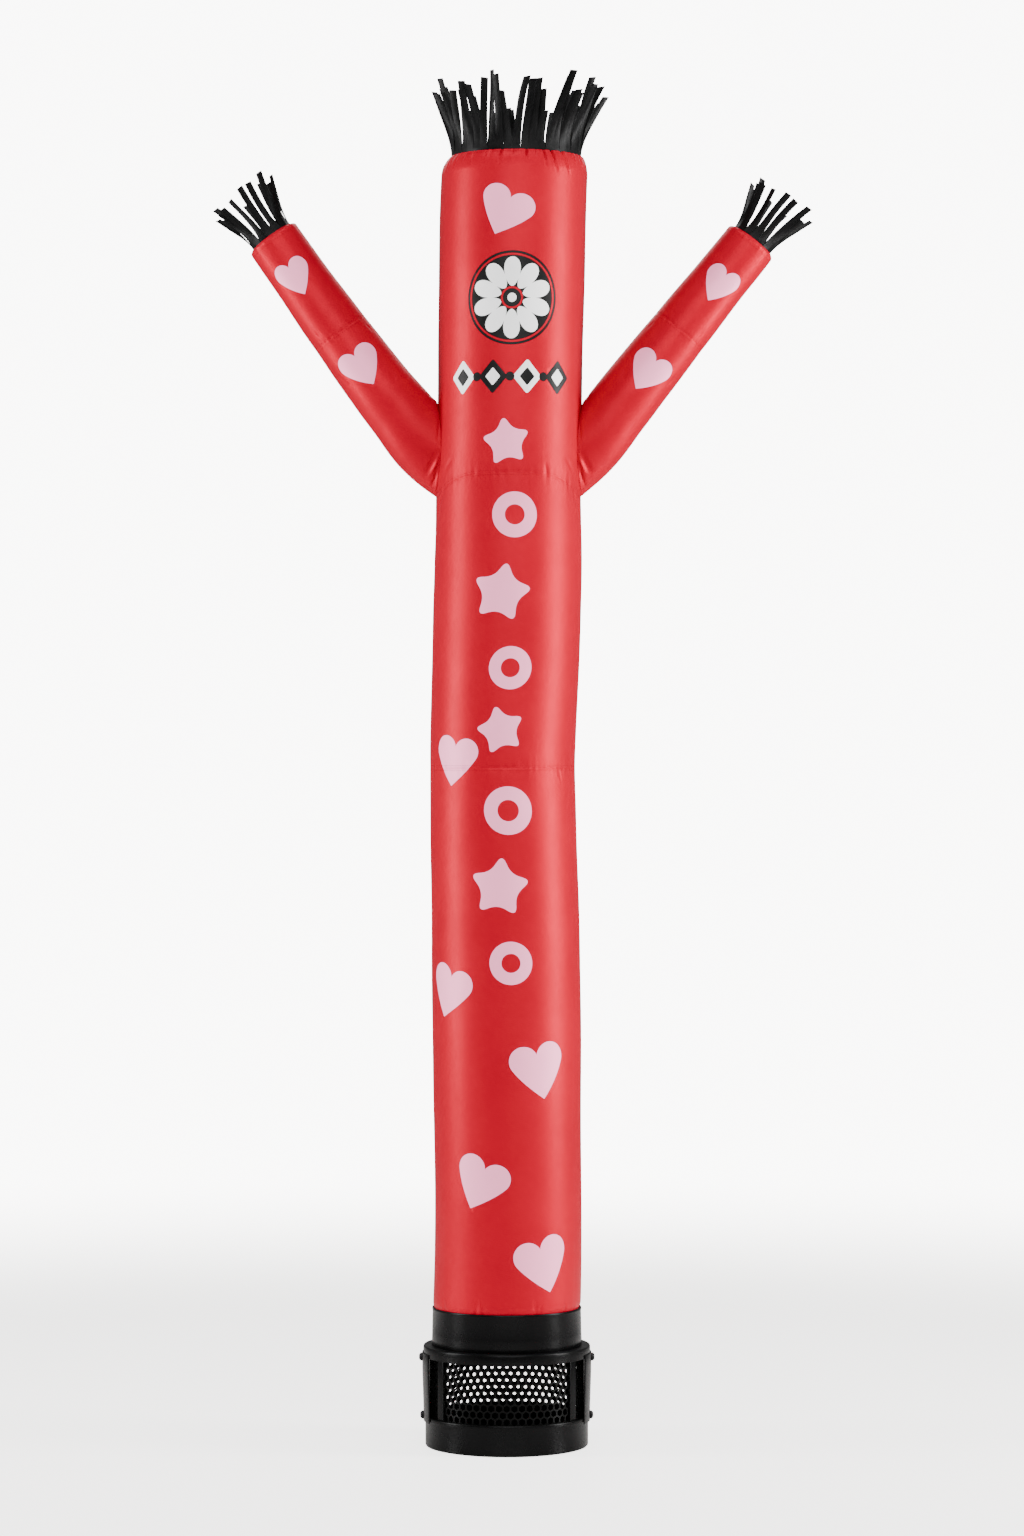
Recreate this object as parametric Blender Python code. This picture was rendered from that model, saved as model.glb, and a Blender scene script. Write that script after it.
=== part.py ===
"""Inflatable air dancer: a cloth tube with two arms, standing on the fan housing that blows it up.

Metres, +Z up. The origin is on the floor under the housing's axis. The front of the tube faces -Y.
Angles round the tube count from the front (-Y) towards +X.
Every piece that a maker would cut, sew on or bolt on is one object, about 0.3 mm clear of its neighbours.
"""

import math
import random
from collections import namedtuple

import bmesh
import bpy
from mathutils import Vector

# ---------------------------------------------------------------- driving dimensions
SEAM_GAP = 0.0003  # clear space left between two pieces that touch
CLOTH = 0.0012  # thickness of the coated nylon
ROUND_STEPS = 32  # flat sides of each large round piece
ARM_STEPS = 16  # flat sides of an arm

FLOOR_PLATE = 0.003  # thickness of the housing's bottom
DRUM_RADIUS = 0.1264
DRUM_HEIGHT = 0.0475
DRUM_WALL = 0.002
DRUM_FOOT = ((0.0034, 0.0), (0.0012, 0.0008), (0.0, 0.0032))  # its rounding: inset and height
BEAD = 0.0012  # how far the drum's top bead stands out
BEAD_HEIGHT = 0.006
EDGE_ROUND = 0.001
FLANGE_RADIUS = 0.1295
FLANGE_LOW = 0.1390
FLANGE_TOP = 0.1560
FLANGE_SKIN = 0.002
FLANGE_LIP = 0.004  # how far the flange reaches in under the neck
FLANGE_EDGE = ((0.0, 0.0020), (0.0007, 0.0005), (0.0022, 0.0))  # its rounding: inset and drop
NECK_TOP = 0.2150
NECK_FOOT_RADIUS = 0.1165
NECK_RIM_RADIUS = 0.1152
NECK_WALL = 0.0021
NECK_ROLL = ((0.0, 0.0045), (-0.0006, 0.0025), (0.0, 0.0004), (0.0010, 0.0))  # its rim: inset and drop
NECK_BORE_DROP = 0.0008
NECK_BORE_DEPTH = 0.0300

GRILLE_RADIUS = 0.1195
GRILLE_SHEET = 0.0015
GRILLE_COLUMNS = 32
GRILLE_ROWS = 4
GRILLE_LOW = 0.0485  # the cut cells lie between these two heights
GRILLE_HIGH = 0.1385
GRILLE_HOLE = 0.0098  # centre to corner of a six-sided hole
WINDOW_HALF_ANGLE = 53.0  # the front and the back window, in degrees to each side

POST_ANGLES = (56.3, 123.7, 236.3, 303.7)
POST_HALF_ANGLE = 3.7
POST_DEPTH = 0.0031
BRACKET_HALF_ANGLE = 22.5
BRACKET_SHEET = 0.0014
BRACKET_LOW = 0.0390
BRACKET_JOGGLE = (0.0560, 0.1180)  # between these heights the plate leans out to the flange
BRACKET_HIGH = 0.1450
BOLT_HEIGHTS = (0.0465, 0.1365)
BOLT_DOME = ((0.0064, 0.0003), (0.0064, 0.0022), (0.0046, 0.0042), (0.0020, 0.0050))
BOLT_STEPS = 10

WAIST_SEAM = 1.0500  # height of the seam between the lower and the middle panel
CHEST_SEAM = 1.5014  # height of the seam under the arms, at the front
ARMPIT_DIP = 0.0330  # how far that seam is drawn down below each arm
CROWN_SEAM = 1.9980  # height of the seam round the crown
CROWN_RADIUS = 0.0990
CROWN_RISE = 0.006
CROWN_VENT = 0.045  # radius of the air vent in the crown
PLEAT_DEPTH = 0.0012  # the gathers of the head's rim, from this height up
PLEAT_FOOT = 1.9600
PLEAT_RISE = 0.0250
ARM_HOLE_INSET = 0.00192  # the head panel's arm hole lies this far inside the arm's outer face
ARM_HOLE_REACH = (0.070, 0.150)  # and is cut between these distances from the axis

HEAD_STRANDS = 48
HAND_STRANDS = 16
STRAND_THIN = 0.0009  # thickness of a strand at its tip
FRINGE_STRIP = 0.0016  # thickness of the strip that the strands are cut from
STRIP_DEPTH = 0.0040  # the strip reaches this far down inside the cloth's rim
STRIP_STAND = 0.0024  # and stands this far out of it
STRAND_LEVELS = 4
STRAND_STAGGER = 0.0075  # how far every second strand lies behind its neighbours at the tip

# Sections of the tube from the fan upwards: height, sideways sway of the centre, outer radius,
# and the share of the armpit dip that the section takes.
Section = namedtuple("Section", "height sway radius dip")

LOWER_SECTIONS = [
    Section(0.1870, 0.0000, 0.1126, 0),
    Section(0.2156, 0.0000, 0.1126, 0),
    Section(0.2185, 0.0003, 0.1139, 0),
    Section(0.2250, 0.0008, 0.1145, 0),
    Section(0.3000, 0.0022, 0.1143, 0),
    Section(0.4600, 0.0016, 0.1145, 0),
    Section(0.6400, -0.0002, 0.1150, 0),
    Section(0.8400, -0.0025, 0.1145, 0),
    Section(0.9800, -0.0055, 0.1138, 0),
    Section(WAIST_SEAM, -0.0066, 0.1131, 0),
]
MIDDLE_SECTIONS = [
    Section(WAIST_SEAM, -0.0066, 0.1131, 0),
    Section(1.1100, -0.0053, 0.1136, 0),
    Section(1.2800, 0.0002, 0.1143, 0),
    Section(1.3700, 0.0024, 0.1139, 0.1),
    Section(1.4400, 0.0026, 0.1130, 0.6),
    Section(CHEST_SEAM, 0.0025, 0.1127, 1),
]
HEAD_SECTIONS = [
    Section(CHEST_SEAM, 0.0025, 0.1127, 1),
    Section(1.5250, 0.0029, 0.1127, 0.5),
    Section(1.5800, 0.0038, 0.1126, 0),
    Section(1.6400, 0.0048, 0.1124, 0),
    Section(1.7300, 0.0064, 0.1128, 0),
    Section(1.8400, 0.0085, 0.1137, 0),
    Section(1.9300, 0.0103, 0.1142, 0),
    Section(1.9680, 0.0116, 0.1141, 0),
    Section(1.9800, 0.0124, 0.1123, 0),
    Section(1.9900, 0.0136, 0.1082, 0),
    Section(1.9962, 0.0148, 0.1038, 0),
]
HEAD_SWAY = HEAD_SECTIONS[-1].sway

# Sections of an arm from the body outwards, in the plane of the arms: distance of the centre from the
# housing's axis, its height, half of the section's width there, half of its depth front to back, and
# how far the section leans over from upright, in degrees.
ArmSection = namedtuple("ArmSection", "out height half_width half_depth lean")

RIGHT_INNER = [
    ArmSection(0.1165, 1.5424, 0.0716, 0.0400, 0.0),
    ArmSection(0.1461, 1.5724, 0.0583, 0.0455, 20.8),
    ArmSection(0.1729, 1.6076, 0.0503, 0.0475, 44.0),
    ArmSection(0.1948, 1.6359, 0.0493, 0.0489, 51.4),
    ArmSection(0.2390, 1.6918, 0.0475, 0.0473, 51.4),
    ArmSection(0.2667, 1.7265, 0.0459, 0.0457, 51.4),
]
RIGHT_OUTER = [
    ArmSection(0.2667, 1.7265, 0.0459, 0.0457, 51.4),
    ArmSection(0.2837, 1.7478, 0.0454, 0.0452, 51.4),
    ArmSection(0.3280, 1.8031, 0.0431, 0.0429, 52.0),
    ArmSection(0.3769, 1.8635, 0.0419, 0.0417, 52.4),
    ArmSection(0.3794, 1.8668, 0.0396, 0.0394, 52.4),
    ArmSection(0.3806, 1.8683, 0.0366, 0.0364, 52.4),
]
LEFT_INNER = [
    ArmSection(0.1085, 1.5427, 0.0726, 0.0400, 0.0),
    ArmSection(0.1412, 1.5715, 0.0608, 0.0460, 22.6),
    ArmSection(0.1685, 1.6062, 0.0523, 0.0482, 44.0),
    ArmSection(0.1903, 1.6333, 0.0504, 0.0502, 52.5),
    ArmSection(0.2329, 1.6898, 0.0481, 0.0479, 53.5),
    ArmSection(0.2571, 1.7229, 0.0465, 0.0463, 53.8),
]
LEFT_OUTER = [
    ArmSection(0.2571, 1.7229, 0.0465, 0.0463, 53.8),
    ArmSection(0.2749, 1.7470, 0.0459, 0.0457, 54.0),
    ArmSection(0.3165, 1.8054, 0.0434, 0.0432, 54.5),
    ArmSection(0.3611, 1.8688, 0.0423, 0.0421, 54.5),
    ArmSection(0.3634, 1.8721, 0.0399, 0.0397, 54.5),
    ArmSection(0.3644, 1.8736, 0.0368, 0.0366, 54.5),
]

# A fringe: number of strands, strands in a clump, shortest and longest strand, width of a strand,
# how far the tips spread outwards, how hard a clump's strands draw together, and how far the air
# blows the tips towards +X.
Fringe = namedtuple("Fringe", "strands clump shortest longest width spread pull blown seed")

HEAD_FRINGE = Fringe(HEAD_STRANDS, 4, 0.090, 0.118, 0.0124, 0.032, 0.40, 0.005, 11)
HAND_FRINGE = Fringe(HAND_STRANDS, 2, 0.070, 0.088, 0.0108, 0.022, 0.30, 0.0, 5)


# ---------------------------------------------------------------- materials
def material(name, colour, roughness, metallic):
    """A plain Principled material in the piece's own colour."""
    made = bpy.data.materials.new(name)
    made.use_nodes = True
    shader = made.node_tree.nodes["Principled BSDF"]
    shader.inputs["Base Color"].default_value = (*colour, 1)
    shader.inputs["Roughness"].default_value = roughness
    shader.inputs["Metallic"].default_value = metallic
    made.diffuse_color = (*colour, 1)
    return made


# ---------------------------------------------------------------- mesh helpers
def add_object(name, mesh_data, finish):
    """Puts a finished bmesh into the scene as a named object, shaded smooth but for its edges."""
    bmesh.ops.recalc_face_normals(mesh_data, faces=mesh_data.faces)
    mesh = bpy.data.meshes.new(name)
    mesh_data.to_mesh(mesh)
    mesh_data.free()
    mesh.shade_smooth()
    mesh.set_sharp_from_angle(angle=math.radians(40))
    mesh.materials.append(finish)
    made = bpy.data.objects.new(name, mesh)
    bpy.context.scene.collection.objects.link(made)
    return made


def skin(name, rings, finish, capped=False):
    """One solid whose surface runs through the rings in order, and back to the first unless capped."""
    shape = bmesh.new()
    loops = [[shape.verts.new(point) for point in ring] for ring in rings]
    following = loops[1:] if capped else loops[1:] + loops[:1]
    for one, other in zip(loops, following):
        for here in range(len(one)):
            there = (here + 1) % len(one)
            shape.faces.new((one[here], one[there], other[there], other[here]))
    if capped:
        shape.faces.new(loops[0])
        shape.faces.new(loops[-1])
    return add_object(name, shape, finish)


def round_ring(radius, height, steps=ROUND_STEPS, centre_x=0.0):
    """Points of a level circle round the tube, from the front towards +X."""
    turns = [math.tau * step / steps for step in range(steps)]
    return [
        Vector((centre_x + radius * math.sin(a), -radius * math.cos(a), height))
        for a in turns
    ]


def turned(name, profile, finish, capped=False, centre_x=0.0):
    """A turned piece from its profile of (radius, height) points."""
    rings = [round_ring(radius, height, centre_x=centre_x) for radius, height in profile]
    return skin(name, rings, finish, capped)


def curved_block(name, angles, radii, heights, finish, steps):
    """A block bent round the axis: a run of angles, (inner, outer) radius and height for each level."""
    first, last = (math.radians(angle) for angle in angles)
    shape = bmesh.new()
    columns = []
    for step in range(steps + 1):
        angle = first + (last - first) * step / steps
        way = Vector((math.sin(angle), -math.cos(angle), 0))
        inner = [shape.verts.new(way * r[0] + Vector((0, 0, z))) for r, z in zip(radii, heights)]
        outer = [shape.verts.new(way * r[1] + Vector((0, 0, z))) for r, z in zip(radii, heights)]
        columns.append(inner + outer[::-1])
    for one, other in zip(columns, columns[1:]):
        for here in range(len(one)):
            there = (here + 1) % len(one)
            shape.faces.new((one[here], one[there], other[there], other[here]))
    shape.faces.new(columns[0])
    shape.faces.new(columns[-1])
    return add_object(name, shape, finish)


# ---------------------------------------------------------------- fan housing
def build_drum(finish):
    """The housing's bottom: a pan with a rounded foot and a bead along its top edge."""
    inner = DRUM_RADIUS - DRUM_WALL
    bead_low = DRUM_HEIGHT - BEAD_HEIGHT
    profile = [(DRUM_RADIUS - inset, height) for inset, height in DRUM_FOOT]
    profile += [
        (DRUM_RADIUS, bead_low - EDGE_ROUND),
        (DRUM_RADIUS + BEAD, bead_low),
        (DRUM_RADIUS + BEAD, DRUM_HEIGHT - EDGE_ROUND),
        (DRUM_RADIUS + BEAD - EDGE_ROUND, DRUM_HEIGHT),
        (inner, DRUM_HEIGHT),
        (inner, FLOOR_PLATE),
    ]
    return turned("fan_drum", profile, finish, capped=True)


def build_flange(finish):
    """The ring over the grille, with a flat top and a turned-down skirt."""
    inner = NECK_FOOT_RADIUS - FLANGE_LIP
    skirt = FLANGE_RADIUS - FLANGE_SKIN
    under = FLANGE_TOP - FLANGE_SKIN
    profile = [(skirt, FLANGE_LOW), (FLANGE_RADIUS, FLANGE_LOW)]
    profile += [(FLANGE_RADIUS - inset, FLANGE_TOP - drop) for inset, drop in FLANGE_EDGE]
    profile += [(inner, FLANGE_TOP), (inner, under), (skirt, under)]
    return turned("fan_flange", profile, finish)


def build_neck(finish):
    """The outlet neck. Its rolled rim stands round the cloth, whose hem goes down inside it."""
    foot = FLANGE_TOP + SEAM_GAP
    bore = NECK_RIM_RADIUS - NECK_WALL
    profile = [(NECK_FOOT_RADIUS - NECK_WALL, foot), (NECK_FOOT_RADIUS, foot)]
    profile += [(NECK_RIM_RADIUS - inset, NECK_TOP - drop) for inset, drop in NECK_ROLL]
    profile += [(bore, NECK_TOP - NECK_BORE_DROP), (bore, NECK_TOP - NECK_BORE_DEPTH)]
    return turned("fan_neck", profile, finish)


def grille_point(column, height, radius):
    """A point of the grille; whole numbers of columns are the edges of its cells."""
    angle = math.tau * column / GRILLE_COLUMNS
    return Vector((radius * math.sin(angle), -radius * math.cos(angle), height))


def in_window(column):
    """True where a cell lies in the front or the back window."""
    angle = math.degrees(math.tau * column / GRILLE_COLUMNS)
    from_front = abs((angle + 180) % 360 - 180)
    return min(from_front, 180 - from_front) < WINDOW_HALF_ANGLE


def build_grille(finish):
    """The sheet-metal cylinder of the cage, with staggered six-sided holes at twice their real pitch."""
    shape = bmesh.new()
    radii = (GRILLE_RADIUS, GRILLE_RADIUS - GRILLE_SHEET)
    row_height = (GRILLE_HIGH - GRILLE_LOW) / GRILLE_ROWS
    levels = [FLOOR_PLATE + SEAM_GAP]
    levels += [GRILLE_LOW + row * row_height for row in range(GRILLE_ROWS + 1)]
    levels.append(FLANGE_TOP - FLANGE_SKIN - SEAM_GAP)
    stations = 2 * GRILLE_COLUMNS
    grid = [
        [[shape.verts.new(grille_point(s / 2, z, r)) for s in range(stations)] for z in levels]
        for r in radii
    ]
    half_width = GRILLE_HOLE / GRILLE_RADIUS * GRILLE_COLUMNS / math.tau
    for level in range(len(levels) - 1):
        plain_row = level in (0, len(levels) - 2)
        for cell in range(GRILLE_COLUMNS):
            first = 2 * cell + level % 2
            around = [(level, first + step) for step in (0, 1, 2)]
            around += [(level + 1, first + step) for step in (2, 1, 0)]
            middle = (first + 1) / 2
            height = (levels[level] + levels[level + 1]) / 2
            cut = not plain_row and in_window(middle)
            rims = []
            for side, radius in enumerate(radii):
                border = [grid[side][row][s % stations] for row, s in around]
                if not cut:
                    shape.faces.new(border)
                    continue
                rim = []
                for corner in range(6):
                    turn = math.radians(210 + 60 * corner)
                    column = middle + half_width * math.cos(turn)
                    z = height + GRILLE_HOLE * math.sin(turn)
                    rim.append(shape.verts.new(grille_point(column, z, radius)))
                for corner in range(6):
                    after = (corner + 1) % 6
                    shape.faces.new((border[corner], border[after], rim[after], rim[corner]))
                rims.append(rim)
            for corner in range(6 if cut else 0):
                after = (corner + 1) % 6
                outer, inner = rims
                shape.faces.new((outer[corner], outer[after], inner[after], inner[corner]))
    for row in (0, len(levels) - 1):
        for s in range(stations):
            after = (s + 1) % stations
            outer, inner = grid[0][row], grid[1][row]
            shape.faces.new((outer[s], outer[after], inner[after], inner[s]))
    return add_object("fan_grille", shape, finish)


def build_posts(finish):
    """The four uprights beside the windows, between the drum's floor and the flange."""
    inner = GRILLE_RADIUS + SEAM_GAP
    heights = (FLOOR_PLATE + SEAM_GAP, FLANGE_TOP - FLANGE_SKIN - SEAM_GAP)
    for number, angle in enumerate(POST_ANGLES, 1):
        run = (angle - POST_HALF_ANGLE, angle + POST_HALF_ANGLE)
        radii = [(inner, inner + POST_DEPTH)] * 2
        curved_block(f"fan_post_{number}", run, radii, heights, finish, steps=2)


def build_brackets(finish):
    """The joggled plate on each side, outside the flange and the bead, with two bolts."""
    high = FLANGE_RADIUS + SEAM_GAP
    low = DRUM_RADIUS + BEAD + SEAM_GAP
    heights = (BRACKET_LOW, *BRACKET_JOGGLE, BRACKET_HIGH)
    radii = [(r, r + BRACKET_SHEET) for r in (low, low, high, high)]
    bolt_seats = (low + BRACKET_SHEET, high + BRACKET_SHEET)
    for name, middle in (("right", 90.0), ("left", 270.0)):
        run = (middle - BRACKET_HALF_ANGLE, middle + BRACKET_HALF_ANGLE)
        curved_block(f"fan_bracket_{name}", run, radii, heights, finish, steps=4)
        for level, height, seat in zip(("low", "high"), BOLT_HEIGHTS, bolt_seats):
            build_bolt(f"fan_bolt_{name}_{level}", math.radians(middle), height, seat, finish)


def build_bolt(name, angle, height, seat, finish):
    """A low domed bolt head lying on the bracket, its axis pointing straight out."""
    outwards = Vector((math.sin(angle), -math.cos(angle), 0))
    across = Vector((0, 0, 1)).cross(outwards)
    rings = []
    for radius, stand in BOLT_DOME:
        centre = outwards * (seat + stand) + Vector((0, 0, height))
        turns = [math.tau * step / BOLT_STEPS for step in range(BOLT_STEPS)]
        rings.append(
            [centre + radius * (across * math.cos(a) + Vector((0, 0, math.sin(a)))) for a in turns]
        )
    return skin(name, rings, finish, capped=True)


# ---------------------------------------------------------------- cloth tube
def tube_ring(section, lift=0.0):
    """Points round one section of the tube, lifted off its seam, with the gathers of the head's rim."""
    gathered = min(1.0, max(0.0, (section.height - PLEAT_FOOT) / PLEAT_RISE))
    points = []
    for step in range(ROUND_STEPS):
        angle = math.tau * step / ROUND_STEPS
        uneven = 0.65 + 0.35 * math.sin(3 * angle + 1)
        radius = section.radius - PLEAT_DEPTH * gathered * uneven * (step % 2)
        height = section.height + lift - section.dip * ARMPIT_DIP * math.sin(angle) ** 4
        x = section.sway + radius * math.sin(angle)
        points.append(Vector((x, -radius * math.cos(angle), height)))
    return points


def inner_face(sections):
    """The same sections moved in by the cloth's thickness, square to the outer face."""
    moved = []
    for here, section in enumerate(sections):
        below = sections[max(here - 1, 0)]
        above = sections[min(here + 1, len(sections) - 1)]
        along = Vector((above.radius - below.radius, above.height - below.height)).normalized()
        radius = section.radius - CLOTH * along.y
        moved.append(section._replace(radius=radius, height=section.height + CLOTH * along.x))
    return moved


def panel_rings(sections):
    """The rings of one face of a panel, whose ends keep half of the seam's clear space each."""
    lifts = [SEAM_GAP / 2] + [0.0] * (len(sections) - 2) + [-SEAM_GAP / 2]
    return [tube_ring(section, lift) for section, lift in zip(sections, lifts)]


def build_panel(name, sections, finish):
    """One sewn length of the tube, as a thin wall."""
    outer = panel_rings(sections)
    inner = panel_rings(inner_face(sections))
    return skin(name, outer + inner[::-1], finish)


def build_crown(finish):
    """The disc on top of the head, a little domed, with the vent that lets the air out."""
    rise = CROWN_SEAM + CROWN_RISE
    profile = [
        (CROWN_RADIUS, CROWN_SEAM - CLOTH),
        (CROWN_RADIUS, CROWN_SEAM),
        ((CROWN_RADIUS + CROWN_VENT) / 2, CROWN_SEAM + 0.75 * CROWN_RISE),
        (CROWN_VENT, rise),
        (CROWN_VENT, rise - CLOTH),
        ((CROWN_RADIUS + CROWN_VENT) / 2, CROWN_SEAM + 0.75 * CROWN_RISE - CLOTH),
    ]
    return turned("crown", profile, finish, centre_x=HEAD_SWAY)


# ---------------------------------------------------------------- arms
def arm_ring(section, side, inset=0.0, slide=0.0):
    """Points round one arm section; side is 1 for the right arm and -1 for the left."""
    lean = math.radians(section.lean)
    wide = Vector((side * math.sin(lean), 0, -math.cos(lean)))
    deep = Vector((0, 1, 0))
    outwards = Vector((side * math.cos(lean), 0, math.sin(lean)))
    centre = Vector((side * section.out, 0, section.height)) + outwards * slide
    points = []
    for step in range(ARM_STEPS):
        angle = math.tau * step / ARM_STEPS
        across = (section.half_width - inset) * math.cos(angle)
        through = (section.half_depth - inset) * math.sin(angle)
        points.append(centre + wide * across + deep * through)
    return points


def onto_body(points, side, stand_off):
    """Moves an arm's first ring sideways onto the head panel, so that its end is saddle-shaped."""
    placed = []
    for point in points:
        low, high = next(
            pair for pair in zip(HEAD_SECTIONS, HEAD_SECTIONS[1:]) if point.z < pair[1].height
        )
        share = (point.z - low.height) / (high.height - low.height)
        share = max(share, 0.0)
        radius = low.radius + (high.radius - low.radius) * share + stand_off
        sway = low.sway + (high.sway - low.sway) * share
        x = sway + side * math.sqrt(radius**2 - point.y**2)
        placed.append(Vector((x, point.y, point.z)))
    return placed


def build_arm_panel(name, sections, side, finish, at_body=False):
    """One sewn length of an arm, as a thin wall."""
    last = len(sections) - 1
    outer = []
    inner = []
    for number, section in enumerate(sections):
        slide = SEAM_GAP / 2 if number == 0 else -SEAM_GAP / 2 if number == last else 0
        outer.append(arm_ring(section, side, slide=slide))
        inner.append(arm_ring(section, side, inset=CLOTH, slide=slide))
    if at_body:
        outer[0] = onto_body(outer[0], side, 2 * SEAM_GAP)
        inner[0] = onto_body(inner[0], side, 2 * SEAM_GAP)
    return skin(name, outer + inner[::-1], finish)


def cut_arm_hole(head, sections, side):
    """Opens the head panel into the arm, just inside the arm's wall."""
    root = sections[0]
    rings = []
    for out in ARM_HOLE_REACH:
        section = root._replace(out=out)
        rings.append(arm_ring(section, side, inset=ARM_HOLE_INSET))
    cutter = skin(f"arm_hole_{'right' if side > 0 else 'left'}", rings, head.active_material, True)
    cutter.hide_render = True
    cutter.display_type = "WIRE"
    cut = head.modifiers.new("arm_hole", "BOOLEAN")
    cut.object = cutter
    cut.operation = "DIFFERENCE"
    cut.solver = "EXACT"


# ---------------------------------------------------------------- fringes
def fringe_ways(up, angle):
    """The ways outwards and sideways at an angle round a fringe that stands along up."""
    side = Vector((0, 1, 0)).cross(up).normalized()
    front = up.cross(side)
    out = side * math.sin(angle) - front * math.cos(angle)
    along = side * math.cos(angle) + front * math.sin(angle)
    return out, along


def add_strip(shape, fringe, foot, up, radius, height):
    """The closed ring that the strands are cut from. Returns the top corners at each strand's edges."""
    pitch = math.tau / fringe.strands
    half = fringe.width / 2 / radius
    edges = [n * pitch + side * half for n in range(fringe.strands) for side in (-1, 1)]
    columns = []
    for angle in edges:
        out, _ = fringe_ways(up, angle)
        face, back = foot + out * radius, foot + out * (radius - FRINGE_STRIP)
        columns.append([shape.verts.new(p) for p in (face, face + up * height, back + up * height, back)])
    for number, here in enumerate(columns):
        there = columns[(number + 1) % len(columns)]
        open_side = 1 if number % 2 == 0 else None  # a strand stands on every second top face
        for side in range(4):
            after = (side + 1) % 4
            if side != open_side:
                shape.faces.new((here[side], there[side], there[after], here[after]))
    return [column[1:3] for column in columns]


def add_strand(shape, fringe, below, root, ways, sizes, up):
    """One flat strand that rises from the four corners below, spreads outwards and drifts sideways."""
    out, along = ways
    for level in range(1, STRAND_LEVELS + 1):
        share = level / STRAND_LEVELS
        reach = sizes["spread"] * share**1.5 - sizes["behind"] * (1 - (1 - share) ** 2)
        middle = root + up * sizes["length"] * share + out * reach + along * sizes["drift"] * share**1.4
        middle.x += fringe.blown * share**2
        turn = sizes["twist"] * share
        flat = (along * math.cos(turn) + out * math.sin(turn)) * fringe.width / 2
        thickness = FRINGE_STRIP + (STRAND_THIN - FRINGE_STRIP) * min(1.0, 2 * share)
        thick = (out * math.cos(turn) - along * math.sin(turn)) * thickness / 2
        corners = (thick - flat, thick + flat, flat - thick, -thick - flat)
        above = [shape.verts.new(middle + corner) for corner in corners]
        for one in range(4):
            other = (one + 1) % 4
            shape.faces.new((below[one], below[other], above[other], above[one]))
        below = above
    shape.faces.new(below)


def build_fringe(name, fringe, foot, up, radius, strip, finish):
    """A ring-shaped strip with strands standing on it, all one solid.

    foot is on the ring's axis at the strip's foot, up is the axis, radius is the strip's outer radius
    and strip its height. Every second strand lies a little behind its neighbours, so that the
    strands of a clump draw together without touching.
    """
    dice = random.Random(fringe.seed)
    up = up.normalized()
    shape = bmesh.new()
    tops = add_strip(shape, fringe, foot, up, radius, strip)
    pitch = math.tau / fringe.strands
    clump_spread = 1.0
    for number in range(fringe.strands):
        place = number % fringe.clump
        if place == 0:
            clump_spread = dice.uniform(0.75, 1.25)
        sizes = {
            "length": dice.uniform(fringe.shortest, fringe.longest),
            "spread": fringe.spread * clump_spread * dice.uniform(0.95, 1.05),
            "drift": ((fringe.clump - 1) / 2 - place) * fringe.pull * pitch * radius,
            "twist": math.radians(dice.uniform(-12, 12)),
            "behind": STRAND_STAGGER * (number % 2),
        }
        ways = fringe_ways(up, number * pitch)
        root = foot + up * strip + ways[0] * (radius - FRINGE_STRIP / 2)
        low, high = tops[2 * number], tops[2 * number + 1]
        add_strand(shape, fringe, [low[0], high[0], high[1], low[1]], root, ways, sizes, up)
    return add_object(name, shape, finish)


# ---------------------------------------------------------------- the whole dancer
def clear_scene():
    for thing in list(bpy.data.objects):
        bpy.data.objects.remove(thing)


def build_dancer():
    red_cloth = material("red_nylon", (0.79, 0.02, 0.035), 0.42, 0.0)
    black_strip = material("black_fringe", (0.012, 0.012, 0.012), 0.48, 0.0)
    housing = material("black_housing", (0.018, 0.018, 0.018), 0.38, 0.0)

    build_drum(housing)
    build_grille(housing)
    build_posts(housing)
    build_brackets(housing)
    build_flange(housing)
    build_neck(housing)

    build_panel("panel_lower", LOWER_SECTIONS, red_cloth)
    build_panel("panel_middle", MIDDLE_SECTIONS, red_cloth)
    head = build_panel("panel_head", HEAD_SECTIONS, red_cloth)
    cut_arm_hole(head, RIGHT_INNER, 1)
    cut_arm_hole(head, LEFT_INNER, -1)
    build_crown(red_cloth)

    for name, side, inner, outer in (
        ("right", 1, RIGHT_INNER, RIGHT_OUTER),
        ("left", -1, LEFT_INNER, LEFT_OUTER),
    ):
        build_arm_panel(f"arm_{name}_inner", inner, side, red_cloth, at_body=True)
        build_arm_panel(f"arm_{name}_outer", outer, side, red_cloth)
        tip = outer[-1]
        lean = math.radians(tip.lean)
        up = Vector((side * math.cos(lean), 0, math.sin(lean)))
        foot = Vector((side * tip.out, 0, tip.height)) - up * STRIP_DEPTH
        radius = (tip.half_width - CLOTH) * math.cos(math.pi / ARM_STEPS) - SEAM_GAP
        strip = STRIP_DEPTH + STRIP_STAND
        build_fringe(f"fringe_{name}_hand", HAND_FRINGE, foot, up, radius, strip, black_strip)

    foot = Vector((HEAD_SWAY, 0, CROWN_SEAM - STRIP_DEPTH))
    radius = CROWN_RADIUS + SEAM_GAP + FRINGE_STRIP
    strip = STRIP_DEPTH + STRIP_STAND
    build_fringe("fringe_head", HEAD_FRINGE, foot, Vector((0, 0, 1)), radius, strip, black_strip)


clear_scene()
build_dancer()
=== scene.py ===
"""Looks of an inflatable air dancer: a red coated-nylon tube with two arms on its black fan housing.

Metres, +Z up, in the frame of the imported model. The printed front faces -Y. Angles round the tube
and round an arm count from the front, positive towards the right of the picture. Cloth is laid out
flat as (u, v): u runs round from the front and v along the tube or the arm.
"""

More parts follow.
